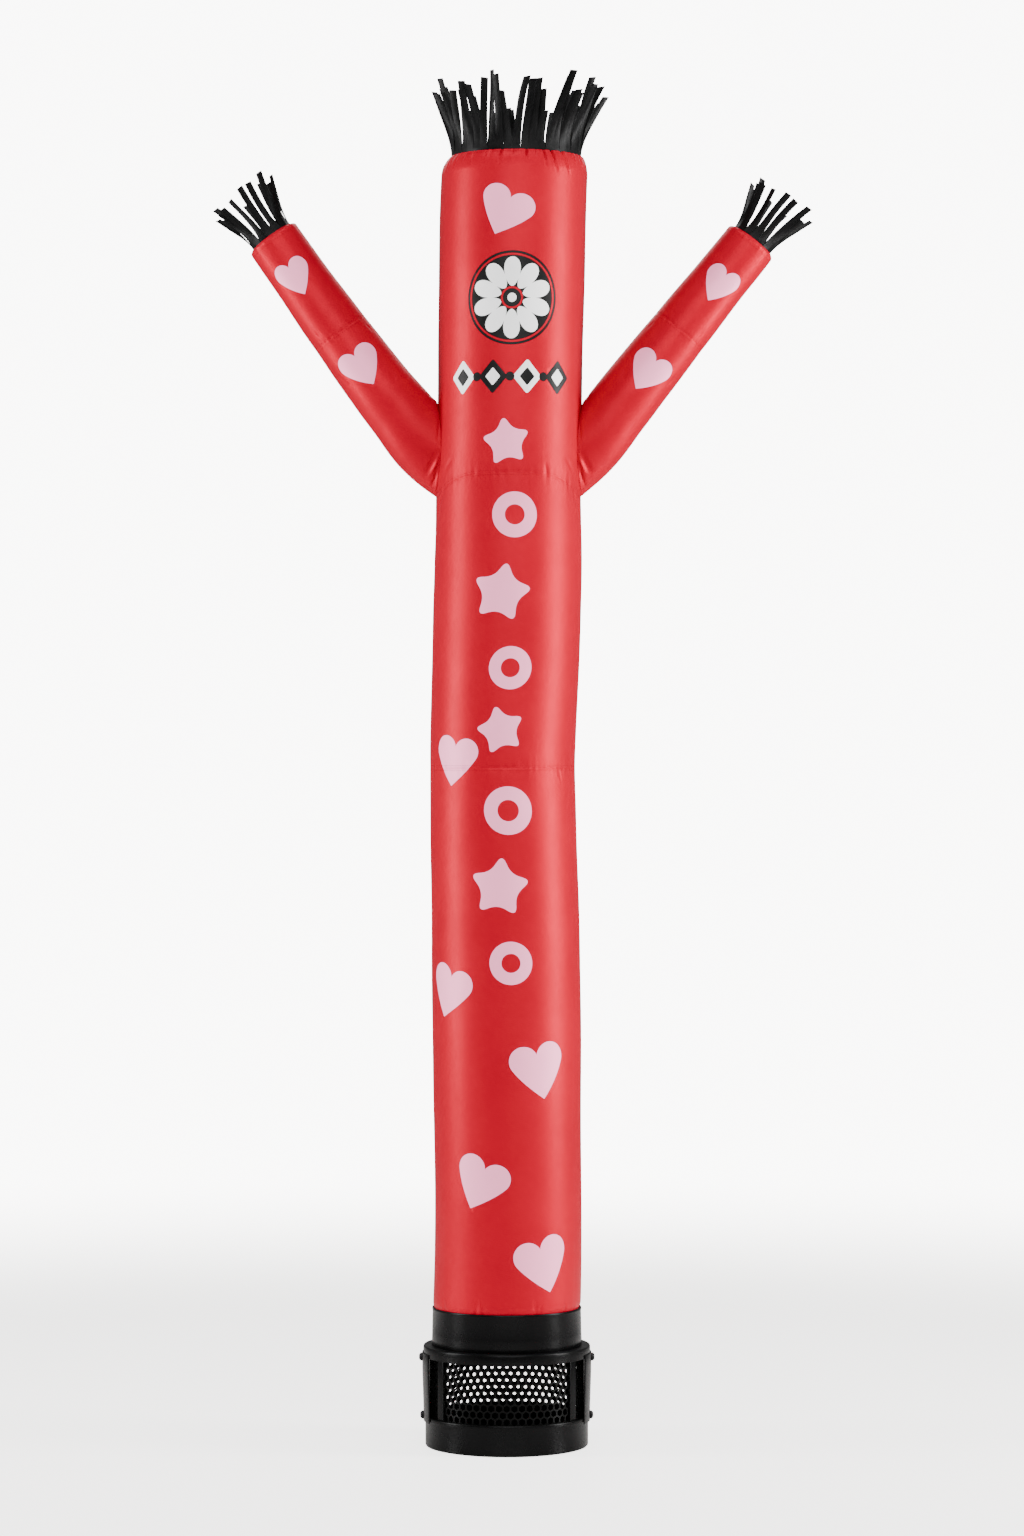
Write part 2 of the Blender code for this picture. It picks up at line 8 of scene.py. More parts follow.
import logging
import random
from abc import ABC, abstractmethod
from bisect import bisect_right
from dataclasses import dataclass, field
from enum import Enum
from functools import cache, cached_property, reduce
from math import acos, atan2, copysign, cos, degrees, exp, hypot, pi, radians, sin, sqrt, tau
from typing import Iterable, NamedTuple, Sequence

import bmesh
import bpy
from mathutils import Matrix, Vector
from mathutils.geometry import delaunay_2d_cdt
from mathutils.kdtree import KDTree


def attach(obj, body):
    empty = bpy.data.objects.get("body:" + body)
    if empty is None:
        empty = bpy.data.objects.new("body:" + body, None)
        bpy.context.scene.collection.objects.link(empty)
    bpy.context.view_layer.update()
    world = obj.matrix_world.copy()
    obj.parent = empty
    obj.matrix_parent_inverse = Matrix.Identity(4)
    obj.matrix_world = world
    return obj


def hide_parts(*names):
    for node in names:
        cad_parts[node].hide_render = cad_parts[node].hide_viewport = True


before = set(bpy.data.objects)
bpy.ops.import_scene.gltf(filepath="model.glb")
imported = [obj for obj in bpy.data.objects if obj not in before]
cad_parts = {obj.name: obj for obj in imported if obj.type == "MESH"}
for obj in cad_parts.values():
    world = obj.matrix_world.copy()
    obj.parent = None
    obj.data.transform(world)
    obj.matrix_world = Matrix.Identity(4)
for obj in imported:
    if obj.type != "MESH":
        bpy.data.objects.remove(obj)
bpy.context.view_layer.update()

LOG = logging.getLogger("air_dancer")

Flat = tuple[float, float]
Colour = tuple[float, float, float]
Material = bpy.types.Material
Node = bpy.types.Node
NodeTree = bpy.types.NodeTree
Object = bpy.types.Object
Socket = bpy.types.NodeSocket
Vert = bmesh.types.BMVert
Outline = tuple[int, Sequence[Flat]]  # with its material number

# ---- sizes shared by several pieces
MM = 1000  # millimetres in a metre
CLOTH = 0.0012
SEAM_GAP = 0.0003
HALF_GAP = SEAM_GAP / 2
TUBE_UNROLL = 0.1135  # radius at which the tube's cloth is laid out flat
ARM_UNROLL = 0.046
HEM_FOOT = 0.187
NECK_LINE = 0.2185  # the cloth comes out of the housing's neck here
WAIST_SEAM = 1.05
CHEST_SEAM = 1.5014
HEAD_RIM = 1.9962
CROWN_SEAM = 1.998
HEAD_SWAY = 0.0148
ARMPIT_DIP = 0.033  # how far the chest seam is drawn down below each arm
CROWN_RADIUS = 0.099
CROWN_WAVES = (37, 53, 71)
STRIP_SHEET = 0.0016
STRIP_DEPTH = 0.004
STRIP_STAND = 0.0024
UP = Vector((0, 0, 1))


class Ink(Enum):
    """What a region of the cloth is printed with. BARE is the dyed cloth itself."""

    BARE = "bare"
    PINK = "pink"
    WHITE = "white"
    BLACK = "black"
    DARK_RED = "dark_red"


class Motif(Enum):
    """The pink shapes down the front."""

    STAR = "star"
    RING = "ring"


class Deepest(Enum):
    """Where along its length a crease is deepest."""

    MIDDLE = "middle"
    UPPER_END = "upper_end"
    LOWER_END = "lower_end"


class Slot(Enum):
    """The record's material slots."""

    RED_NYLON = "red_nylon"
    BLACK_FRINGE = "black_fringe"
    BLACK_HOUSING = "black_housing"


# ---- small geometry
def smooth_step(value: float) -> float:
    """Goes from 0 to 1 with flat ends as the value goes from 0 to 1."""
    value = min(max(value, 0.0), 1.0)
    return value * value * (3 - 2 * value)


def turns(count: int) -> list[float]:
    """Angles evenly spaced round a full turn, in radians."""
    return [tau * step / count for step in range(count)]


def about_axis(angle: float, radius: float, height: float, sway: float = 0.0) -> Vector:
    """The point at an angle from the front, a radius and a height about an upright axis."""
    return Vector((sway + radius * sin(angle), -radius * cos(angle), height))


def turn_flat(point: Flat, turn: float) -> Flat:
    """A flat point turned anticlockwise about the origin, in degrees."""
    (x, y), cosine, sine = point, cos(radians(turn)), sin(radians(turn))
    return (x * cosine - y * sine, x * sine + y * cosine)


def bend(start: Vector, corner: Vector, end: Vector, t: float) -> Flat:
    """The point at a share t of the smooth bend from a start to an end that a corner draws."""
    return tuple(start * (1 - t) ** 2 + corner * 2 * t * (1 - t) + end * t * t)


def rounded(corners: Sequence[Flat], reach: float, steps: int = 4, closed: bool = True) -> list[Flat]:
    """Rounds the corners of a flat outline or profile.

    Args:
        corners: the sharp corners in order.
        reach: how far from its corner each rounding starts.
        steps: straight pieces in each rounding.
        closed: whether the last corner is joined to the first; if not, the ends stay sharp.

    Returns:
        The rounded outline.
    """
    made: list[Flat] = []
    count = len(corners)
    for number, corner in enumerate(corners):
        if not closed and number in (0, count - 1):
            made.append(corner)
            continue
        here = Vector(corner)
        ends = []
        for other in (Vector(corners[number - 1]), Vector(corners[(number + 1) % count])):
            ends.append(here + (other - here) * min(0.45, reach / max((other - here).length, 1e-9)))
        made += [bend(ends[0], here, ends[1], step / steps) for step in range(steps + 1)]
    return made


@dataclass(frozen=True)
class SmoothRun:
    """A value that passes smoothly through given stations and never overshoots them."""

    stations: Sequence[float]
    values: Sequence[float]

    @cached_property
    def slopes(self) -> list[float]:
        """Slope of the value at each station."""
        steps = [b - a for a, b in zip(self.stations, self.stations[1:])]
        rises = [(b - a) / s for a, b, s in zip(self.values, self.values[1:], steps)]
        slopes = [rises[0]]
        for before, after, one, other in zip(rises, rises[1:], steps, steps[1:]):
            heavy, light = 2 * other + one, other + 2 * one
            level = before * after <= 0
            slopes.append(0.0 if level else (heavy + light) / (heavy / before + light / after))
        return slopes + [rises[-1]]

    def at(self, place: float) -> float:
        """The value at a place, held constant beyond the two ends.

        Args:
            place: where along the stations.

        Returns:
            The smooth value there.
        """
        place = min(max(place, self.stations[0]), self.stations[-1])
        here = min(bisect_right(self.stations, place), len(self.stations) - 1) - 1
        span = self.stations[here + 1] - self.stations[here]
        t = (place - self.stations[here]) / span
        low, high = self.values[here], self.values[here + 1]
        slope, after = self.slopes[here] * span, self.slopes[here + 1] * span
        first = low * (1 + 2 * t) * (1 - t) ** 2 + slope * t * (1 - t) ** 2
        return first + high * t * t * (3 - 2 * t) - after * t * t * (1 - t)


# ---- relief of the cloth
@dataclass(frozen=True)
class Crease:
    """A soft trough in the cloth, or a ridge where the depth is negative.

    angle is in degrees from the front and along is the place of its middle; tilt leans its upper end
    to the right, in degrees.
    """

    angle: float
    along: float
    length: float
    width: float
    depth: float
    tilt: float = 0.0
    deepest: Deepest = Deepest.MIDDLE

    def relief(self, u: float, v: float, unroll: float) -> float:
        """How far the crease moves the cloth outwards at a flat point.

        Args:
            u: place round the cloth.
            v: place along it.
            unroll: radius that the cloth is laid out at.

        Returns:
            A distance in metres, below zero in a trough.
        """
        whole = tau * unroll
        across = (u - radians(self.angle) * unroll + whole / 2) % whole - whole / 2
        up = v - self.along
        if abs(across) > self.length / 2 + 3 * self.width or abs(up) > self.length:
            return 0.0
        lean = radians(self.tilt)
        run = across * sin(lean) + up * cos(lean)
        aside = across * cos(lean) - up * sin(lean)
        share = run / (self.length / 2)
        if self.deepest is Deepest.MIDDLE:
            fade = cos(share * pi / 2) ** 2 if abs(share) < 1 else 0.0
        elif self.deepest is Deepest.UPPER_END:
            fade = smooth_step((share + 1) / 2)
        else:
            fade = smooth_step((1 - share) / 2)
        return -self.depth * fade * exp(-((aside / self.width) ** 2))


@dataclass(frozen=True)
class SeamPucker:
    """The small uneven waves that sewing draws into cloth along a seam at one place along it."""

    along: float
    height: float
    reach: float
    waves: tuple[int, ...]
    seed: int
    draw_in: float = 0.0004

    @cached_property
    def phases(self) -> list[float]:
        """Start of each wave round the seam."""
        dice = random.Random(self.seed)
        return [dice.uniform(0, tau) for _ in self.waves]

    def relief(self, u: float, v: float, unroll: float) -> float:
        """How far the seam moves the cloth outwards at a flat point.

        Args:
            u: place round the cloth.
            v: place along it.
            unroll: radius that the cloth is laid out at.

        Returns:
            A distance in metres.
        """
        away = abs(v - self.along)
        if away > 4 * self.reach:
            return 0.0
        swing = sum(sin(n * (u / unroll) + p) for n, p in zip(self.waves, self.phases))
        return exp(-away / self.reach) * (self.height * swing / len(self.waves) - self.draw_in)


@dataclass(frozen=True)
class Swell:
    """The slow unevenness of cloth that is blown up by moving air."""

    height: float
    rounds: int
    length: float
    phase: float
    drift: float = 3.1  # how far the swell winds round as it climbs

    def relief(self, u: float, v: float, unroll: float) -> float:
        """How far the swell moves the cloth outwards at a flat point."""
        around = cos(self.rounds * (u / unroll) + self.phase + self.drift * sin(v / self.length))
        return self.height * around * sin(tau * v / self.length + self.phase)


Relief = Crease | SeamPucker | Swell


# ---- surfaces that cloth follows
class Section(NamedTuple):
    """A section of the tube; dip is the share of the armpit dip that it takes."""

    height: float
    sway: float
    radius: float
    dip: float


class ArmSection(NamedTuple):
    """A section of an arm; lean is how far it leans over from upright, in degrees."""

    out: float
    height: float
    half_width: float
    half_depth: float
    lean: float


class ClothSurface(ABC):
    """A blown-up tube of cloth: where each point of the flat cloth lies."""

    unroll: float
    reliefs: tuple[Relief, ...]
    stations: Sequence[float]
    sections: Sequence[Section] | Sequence[ArmSection]

    @abstractmethod
    def bare_point(self, angle: float, along: float) -> Vector:
        """The point at an angle in radians and a place along, before any relief."""

    @abstractmethod
    def outwards(self, angle: float, along: float) -> Vector:
        """The way out of the tube at that point."""

    @cached_property
    def runs(self) -> dict[str, SmoothRun]:
        """The smooth run of each column of the sections."""
        columns = zip(self.sections[0]._fields, zip(*self.sections))
        return {name: SmoothRun(self.stations, values) for name, values in columns}

    def moved(self, u: float, v: float) -> float:
        """How far all of the reliefs move the cloth outwards at a flat point."""
        return sum(part.relief(u, v, self.unroll) for part in self.reliefs)

    def point(self, u: float, v: float, lift: float = 0.0) -> Vector:
        """Where a point of the flat cloth lies, at a lift above the cloth."""
        angle = u / self.unroll
        return self.bare_point(angle, v) + self.outwards(angle, v) * (self.moved(u, v) + lift)


@dataclass
class TubeSurface(ClothSurface):
    """The upright tube from the fan to the crown."""

    reliefs: tuple[Relief, ...] = ()
    unroll: float = TUBE_UNROLL

    sections = [Section(*row) for row in (
        # height, sway, radius, share of the armpit dip
        (HEM_FOOT, 0.0, 0.1126, 0), (0.2156, 0.0, 0.1126, 0), (0.2185, 0.0003, 0.1139, 0),
        (0.225, 0.0008, 0.1145, 0), (0.3, 0.0022, 0.1143, 0), (0.46, 0.0016, 0.1145, 0),
        (0.64, -0.0002, 0.115, 0), (0.84, -0.0025, 0.1145, 0), (0.98, -0.0055, 0.1138, 0),
        (WAIST_SEAM, -0.0066, 0.1131, 0), (1.11, -0.0053, 0.1136, 0), (1.28, 0.0002, 0.1143, 0),
        (1.37, 0.0024, 0.1139, 0.1), (1.44, 0.0026, 0.113, 0.6), (CHEST_SEAM, 0.0025, 0.1127, 1),
        (1.525, 0.0029, 0.1127, 0.5), (1.58, 0.0038, 0.1126, 0), (1.64, 0.0048, 0.1124, 0),
        (1.73, 0.0064, 0.1128, 0), (1.84, 0.0085, 0.1137, 0), (1.93, 0.0103, 0.1142, 0),
        (1.968, 0.0116, 0.1141, 0), (1.98, 0.0124, 0.1123, 0), (1.99, 0.0136, 0.1082, 0),
        (HEAD_RIM, HEAD_SWAY, 0.1038, 0),
    )]

    @cached_property
    def stations(self) -> list[float]:
        """Height of each section."""
        return [section.height for section in self.sections]

    def bare_point(self, angle: float, along: float) -> Vector:
        """The point at an angle in radians and a nominal height, before any relief."""
        height = along - self.runs["dip"].at(along) * ARMPIT_DIP * sin(angle) ** 4
        return about_axis(angle, self.runs["radius"].at(along), height, self.runs["sway"].at(along))

    def outwards(self, angle: float, along: float) -> Vector:
        """The level way out of the tube."""
        return about_axis(angle, 1, 0)

    def along_at(self, angle: float, height: float) -> float:
        """The place along the cloth that lies at a true height.

        Args:
            angle: in radians from the front.
            height: the true height.

        Returns:
            The nominal height there.
        """
        low, high = height - 0.001, height + 1.2 * ARMPIT_DIP
        for _ in range(40):
            middle = (low + high) / 2
            if self.bare_point(angle, middle).z < height:
                low = middle
            else:
                high = middle
        return (low + high) / 2


@dataclass
class ArmSurface(ClothSurface):
    """One arm from the body to its open end. side is 1 for the arm on the right and -1 for the left."""

    side: int
    sections: list[ArmSection]
    body: TubeSurface
    reliefs: tuple[Relief, ...] = ()
    unroll: float = ARM_UNROLL
    stand_off: float = 0.00012  # clear space to the body's cloth at the root
    saddle_reach: float = 0.042  # the root's saddle shape has faded out this far along
    saddles: dict[Flat, float] = field(default_factory=dict)  # the shifts already found

    @cached_property
    def stations(self) -> list[float]:
        """Length along the arm's centre line at each section."""
        runs = [0.0]
        for one, other in zip(self.sections, self.sections[1:]):
            runs.append(runs[-1] + hypot(other.out - one.out, other.height - one.height))
        return runs

    def centre_and_point(self, angle: float, along: float) -> tuple[Vector, Vector]:
        """The centre of one section and a point round it, before any relief.

        Args:
            angle: in radians from the front.
            along: length along the arm.

        Returns:
            The two points in space.
        """
        section = ArmSection(*(self.runs[name].at(along) for name in ArmSection._fields))
        lean = radians(section.lean)
        rightwards = Vector((sin(lean), 0, -self.side * cos(lean)))
        centre = Vector((self.side * section.out, 0, section.height))
        aside = rightwards * (section.half_width * sin(angle))
        return centre, centre + aside - Vector((0, 1, 0)) * (section.half_depth * cos(angle))

    def bare_point(self, angle: float, along: float) -> Vector:
        """The point at an angle in radians and a length along the arm, before any relief."""
        return self.centre_and_point(angle, along)[1]

    def outwards(self, angle: float, along: float) -> Vector:
        """The way from the arm's centre line through its cloth."""
        centre, point = self.centre_and_point(angle, along)
        return (point - centre).normalized()

    def point(self, u: float, v: float, lift: float = 0.0) -> Vector:
        """Where a point of the flat cloth lies, with the root's edge laid on the body's own cloth.

        Args:
            u: place round the cloth.
            v: place along it.
            lift: distance kept above the cloth.

        Returns:
            The point in space.
        """
        placed = super().point(u, v, lift)
        if v < self.saddle_reach:
            key = (round(u, 7), round(lift, 7))
            if key not in self.saddles:
                self.saddles[key] = self._saddle(super().point(u, 0.0, lift))
            placed.x += (1 - smooth_step(v / self.saddle_reach)) * self.saddles[key]
        return placed

    def _saddle(self, root: Vector) -> float:
        """How far sideways the body's cloth lies from a point of the root's flat ring.

        Args:
            root: the point.

        Returns:
            The distance along X.
        """
        runs = self.body.runs
        turn = acos(max(-1.0, min(1.0, -root.y / runs["radius"].at(root.z))))
        along = self.body.along_at(turn, root.z)
        moved = self.body.moved(self.side * turn * self.body.unroll, along)
        radius = runs["radius"].at(along) + moved + self.stand_off
        return runs["sway"].at(along) + self.side * sqrt(radius**2 - root.y**2) - root.x

    def tip_way(self) -> Vector:
        """The way that the arm points at its end."""
        lean = radians(self.sections[-1].lean)
        return Vector((self.side * cos(lean), 0, sin(lean)))


# ---- prints
@dataclass(frozen=True)
class Print:
    """One printed region: its outline on the flat cloth and its ink. Later ones lie on top."""

    ink: Ink
    outline: tuple[Flat, ...]

    def clipped(self, low: float, high: float) -> list[Flat]:
        """The part of the print between two places along the cloth.

        Args:
            low: lower end of the panel.
            high: upper end of the panel.

        Returns:
            The clipped outline, empty where nothing of it lies there.
        """
        outline = list(self.outline)
        for limit, keep in ((low, 1), (high, -1)):
            kept: list[Flat] = []
            for one, other in zip(outline, outline[1:] + outline[:1]):
                inside, following = keep * (one[1] - limit) >= 0, keep * (other[1] - limit) >= 0
                if inside:
                    kept.append(one)
                if inside != following:
                    share = (limit - one[1]) / (other[1] - one[1])
                    kept.append((one[0] + (other[0] - one[0]) * share, limit))
            outline = kept if len(kept) > 2 else []
        return outline


@dataclass(frozen=True)
class Stencil:
    """Places motifs on one surface's flat cloth."""

    unroll: float
    start: float = 0.0  # place along the surface that the motifs' own places count from
    lobe: float = 0.256  # a heart's sizes as shares of its width: radius of its two lobes,
    aside: float = 0.244  # distance of their centres from its middle,
    tip: float = 0.70  # depth of its tip below them,
    slack: float = 0.31  # and how far its straight side swings out
    leave: float = 28.0  # degrees below its centre at which each lobe runs into the side
    edge: float = 0.0016  # how much wider its dark edge is

    def place(self, ink: Ink, shape: Iterable[Flat], angle: float, along: float, tilt: float = 0) -> Print:
        """A shape printed with an ink, moved to its angle and place and tilted anticlockwise."""
        u, v = radians(angle) * self.unroll, self.start + along
        return Print(ink, tuple((u + x, v + y) for x, y in (turn_flat(point, tilt) for point in shape)))

    def disc(self, ink: Ink, angle: float, along: float, radius: float) -> Print:
        """A round spot."""
        return self.place(ink, ((radius * cos(t), radius * sin(t)) for t in turns(64)), angle, along)

    def heart(self, angle: float, along: float, width: float, height: float, tilt: float) -> list[Print]:
        """A pink heart with a thin dark edge; tilt swings its tip from straight down.

        Args:
            angle: of its middle, in degrees from the front.
            along: of its middle.
            width: its width.
            height: its height.
            tilt: negative to the left.

        Returns:
            The edge and the heart.
        """
        half: list[Flat] = []
        cleft = 180 - degrees(acos(self.aside / self.lobe))
        for step in range(27):
            turn = radians(cleft - (cleft + self.leave) * step / 26)
            half.append((self.aside + self.lobe * cos(turn), self.lobe * sin(turn)))
        start, turn = Vector(half[-1]), radians(self.leave)
        corner = start - self.slack * Vector((sin(turn), cos(turn)))
        half += [bend(start, corner, Vector((0, -self.tip)), step / 8) for step in range(1, 9)]
        whole = half + [(-x, y) for x, y in half[-2:0:-1]]
        middle, tall = (self.lobe - self.tip) / 2, self.lobe + self.tip
        shape = [(x * width, (y - middle) / tall * height) for x, y in whole][::-1]
        rim = [(x * (1 + self.edge / width), y * (1 + self.edge / height)) for x, y in shape]
        inks = ((Ink.DARK_RED, rim), (Ink.PINK, shape))
        return [self.place(ink, outline, angle, along, tilt) for ink, outline in inks]

    def motif(self, kind: Motif, angle: float, along: float, size: float, tilt: float) -> list[Print]:
        """A plump pink star with rounded points, or a pink ring with the bare cloth inside it.

        Args:
            kind: which of the two.
            angle: of its middle, in degrees from the front.
            along: of its middle.
            size: its width.
            tilt: turn anticlockwise, in degrees.

        Returns:
            Its prints.
        """
        if kind is Motif.RING:
            spots = ((Ink.PINK, size / 2), (Ink.BARE, 0.22 * size))
            return [self.disc(ink, angle, along, radius) for ink, radius in spots]
        corners = []
        for step in range(10):
            reach = size / 2 * (1.06 if step % 2 == 0 else 0.56)
            turn = radians(90 + 36 * step)
            corners.append((reach * cos(turn), reach * sin(turn)))
        return [self.place(Ink.PINK, rounded(corners, 0.15 * size, 5), angle, along, tilt)]


@dataclass(frozen=True)
class Emblem:
    """A round flower medallion over a row of diamonds, in black and white."""

    middle: Flat = (0.5, 1.768)
    disc: float = 0.072
    bare_ring: tuple[float, float] = (0.004, 0.007)  # how far inside the disc it starts and ends
    petals: int = 10
    petal_length: float = 0.0225
    petal_width: float = 0.0124
    petal_reach: float = 0.04
    hub: float = 0.017
    hub_ring: float = 0.003
    bead: float = 0.007
    row_height: float = 1.648
    diamond: Flat = (0.023, 0.027)
    row_angles: tuple[float, ...] = (-40.0, -13.5, 13.5, 40.0)
    pip_angles: tuple[float, ...] = (-26.75, 0.0, 26.75)

    def prints(self, stencil: Stencil) -> list[Print]:
        """All regions of the emblem.

        Args:
            stencil: places them on the head's cloth.

        Returns:
            The prints, the lowest first.
        """
        spots = [
            (Ink.BLACK, self.disc), (Ink.BARE, self.disc - self.bare_ring[0]),
            (Ink.BLACK, self.disc - self.bare_ring[1]), (Ink.BARE, self.hub),
            (Ink.BLACK, self.hub - self.hub_ring), (Ink.WHITE, self.bead),
        ]
        discs = [stencil.disc(ink, *self.middle, radius) for ink, radius in spots]
        petals = [stencil.place(Ink.WHITE, self._petal(n), *self.middle) for n in range(self.petals)]
        made = discs[:3] + petals + discs[3:]
        for number, angle in enumerate(self.row_angles):
            outer, inner = (Ink.BLACK, Ink.WHITE) if number % 2 else (Ink.WHITE, Ink.BLACK)
            for ink, share in ((outer, 1.0), (inner, 0.52)):
                made.append(stencil.place(ink, self._diamond(share), angle, self.row_height))
        return made + [stencil.disc(Ink.BLACK, a, self.row_height, self.bead) for a in self.pip_angles]

    def _petal(self, number: int) -> list[Flat]:
        """The outline of one petal, pointing away from the middle."""
        wide, long = self.petal_width, self.petal_length
        petal = [(wide * cos(t) * (1 + 0.25 * sin(t)), self.petal_reach + long * sin(t)) for t in turns(28)]
        return [turn_flat(point, 360 * number / self.petals) for point in petal]

    def _diamond(self, share: float) -> list[Flat]:
        """A diamond at a share of its full size."""
        wide, tall = (size * share for size in self.diamond)
        return rounded([(0, -tall), (wide, 0), (0, tall), (-wide, 0)], 0.004 * share, 3)


# ---- node trees and finishes
class Wiring:
    """A node tree under construction."""

    def __init__(self, tree: NodeTree):
        """Starts on a tree that may already have nodes."""
        self.tree = tree

    def node(self, kind: str, feeds: dict[str | int, object] | None = None, **settings: object) -> Node:
        """Adds a node.

        Args:
            kind: Blender's name of the node.
            feeds: what its inputs get, by name or number.
            settings: the node's own properties.

        Returns:
            The node.
        """
        made = self.tree.nodes.new(kind)
        for name, value in settings.items():
            setattr(made, name, value)
        self.feed(made, feeds or {})
        return made

    def feed(self, node: Node, feeds: dict[str | int, object]) -> None:
        """Sets or links inputs of a node.

        Args:
            node: the node.
            feeds: a number, a socket or a node, for its first output, by the input's name or number.
        """
        for name, value in feeds.items():
            if isinstance(value, Node):
                value = value.outputs[0]
            if isinstance(value, Socket):
                self.tree.links.new(value, node.inputs[name])
            else:
                node.inputs[name].default_value = value

    def math(self, operation: str, *values: object) -> Socket:
        """The result of a math node on numbers or sockets."""
        return self.node("ShaderNodeMath", dict(enumerate(values)), operation=operation).outputs[0]

    def times(self, *values: object) -> Socket:
        """The product of numbers or sockets."""
        return reduce(lambda one, other: self.math("MULTIPLY", one, other), values)


class Group(Wiring):
    """A node group under construction."""

    def __init__(self, name: str, kind: str, inputs: dict[str, object], outputs: dict[str, str]):
        """Starts the group.

        Args:
            name: its name.
            kind: Blender's name of its kind of tree.
            inputs: the default of each input, or the name of its socket's type.
            outputs: the name of each output's socket type.
        """
        super().__init__(bpy.data.node_groups.new(name, kind))
        for way, sockets in (("INPUT", inputs), ("OUTPUT", outputs)):
            for title, value in sockets.items():
                typed = isinstance(value, str)
                sort = "NodeSocket" + (value if typed else type(value).__name__.capitalize())
                socket = self.tree.interface.new_socket(title, in_out=way, socket_type=sort)
                if not typed:
                    socket.default_value = value
        self.entry = self.node("NodeGroupInput").outputs
        self.exit = self.node("NodeGroupOutput")


@cache
def weave_group() -> NodeTree:
    """Plain weave on the flat cloth: the height of its threads and the shade between them."""
    inputs = {"Flat": "Vector", "Threads per Metre": 2400.0}
    made = Group("plain_weave", "ShaderNodeTree", inputs, {"Height": "Float", "Shade": "Float"})
    split = made.node("ShaderNodeSeparateXYZ", {0: made.entry["Flat"]})
    waves = []
    for axis in (0, 1):
        threads = made.times(split.outputs[axis], made.entry["Threads per Metre"])
        waves.append(made.math("SINE", made.times(threads, pi)))
    ribs = made.math("ADD", *(made.math("ABSOLUTE", wave) for wave in waves))
    crossing = made.times(*waves)
    height = made.math("MULTIPLY_ADD", crossing, 0.25, made.times(ribs, 0.375))
    made.feed(made.exit, {"Height": height, "Shade": made.math("SUBTRACT", 1.0, height)})
    return made.tree


@cache
def mottle_group() -> NodeTree:
    """Slow uneven patches, as of cloth that was folded away, or of dust."""
    inputs = {"Place": "Vector", "Patches per Metre": 8.0, "Low": 0.0, "High": 1.0}
    made = Group("mottle", "ShaderNodeTree", inputs, {"Value": "Float"})
    place = {"Vector": made.entry["Place"], "Scale": made.entry["Patches per Metre"]}
    noise = made.node("ShaderNodeTexNoise", {**place, "Detail": 4.0, "Roughness": 0.55})
    feeds = {"Value": noise, "From Min": 0.30, "From Max": 0.70}
    feeds |= {"To Min": made.entry["Low"], "To Max": made.entry["High"]}
    made.feed(made.exit, {"Value": made.node("ShaderNodeMapRange", feeds)})
    return made.tree


@cache
def grain_group() -> NodeTree:
    """The fine orange-peel grain of a powder coat, with the wear of what faces up."""
    inputs = {"Place": "Vector", "Grains per Metre": 900.0}
    made = Group("coat_grain", "ShaderNodeTree", inputs, {"Height": "Float", "Dust": "Float"})
    place, grains = made.entry["Place"], made.entry["Grains per Metre"]
    peel = made.node("ShaderNodeTexNoise", {"Vector": place, "Scale": grains, "Detail": 2.0})
    cloud = made.node("ShaderNodeTexNoise", {"Vector": place, "Scale": 26.0, "Detail": 5.0})
    facing = made.node("ShaderNodeNewGeometry").outputs["Normal"]
    upwards = made.node("ShaderNodeSeparateXYZ", {0: facing}).outputs["Z"]
    patchy = made.math("POWER", cloud, 2.0)
    dust = made.times(made.math("MAXIMUM", upwards, 0.0), patchy)
    made.feed(made.exit, {"Height": peel, "Dust": dust})
    return made.tree


class Shading(Wiring):
    """A material under construction: its tree, its Principled shader and the usual links."""

    def __init__(self, name: str, colour: Colour, **constants: object):
        """Starts the material.

        Args:
            name: the material's name.
            colour: its base colour, linear.
            constants: values of the shader's own sockets, with underscores for spaces.
        """
        self.material = bpy.data.materials.new(name)
        self.material.use_nodes = True
        self.material.diffuse_color = (*colour, 1)
        super().__init__(self.material.node_tree)
        self.colour = colour
        self.shader = self.tree.nodes["Principled BSDF"]
        self.feed(self.shader, {"Base Color": (*colour, 1)})
        self.feed(self.shader, {title.replace("_", " "): value for title, value in constants.items()})

    def place(self) -> Socket:
        """Object coordinates, in metres."""
        return self.node("ShaderNodeTexCoord").outputs["Object"]

    def weave(self, threads: float) -> Node:
        """The shared weave on the piece's own flat layout."""
        feeds = {"Flat": self.node("ShaderNodeUVMap", uv_map="flat"), "Threads per Metre": threads}
        return self.node("ShaderNodeGroup", feeds, node_tree=weave_group())

    def patches(self, per_metre: float, low: float, high: float) -> Node:
        """Slow uneven patches between two values."""
        feeds = {"Place": self.place(), "Patches per Metre": per_metre, "Low": low, "High": high}
        return self.node("ShaderNodeGroup", feeds, node_tree=mottle_group())

    def shade(self, grey: Node | Socket) -> None:
        """Multiplies the base colour by a grey value that changes over the surface."""
        shaded = self.node("ShaderNodeVectorMath", {0: self.colour, "Scale": grey}, operation="SCALE")
        self.feed(self.shader, {"Base Color": shaded})

    def bump(self, height: Socket, distance: float, strength: float) -> None:
        """Lets a height raise the surface, by a distance where it is 1, at a strength."""
        node = self.node("ShaderNodeBump", {"Height": height, "Distance": distance, "Strength": strength})
        self.feed(self.shader, {"Normal": node})


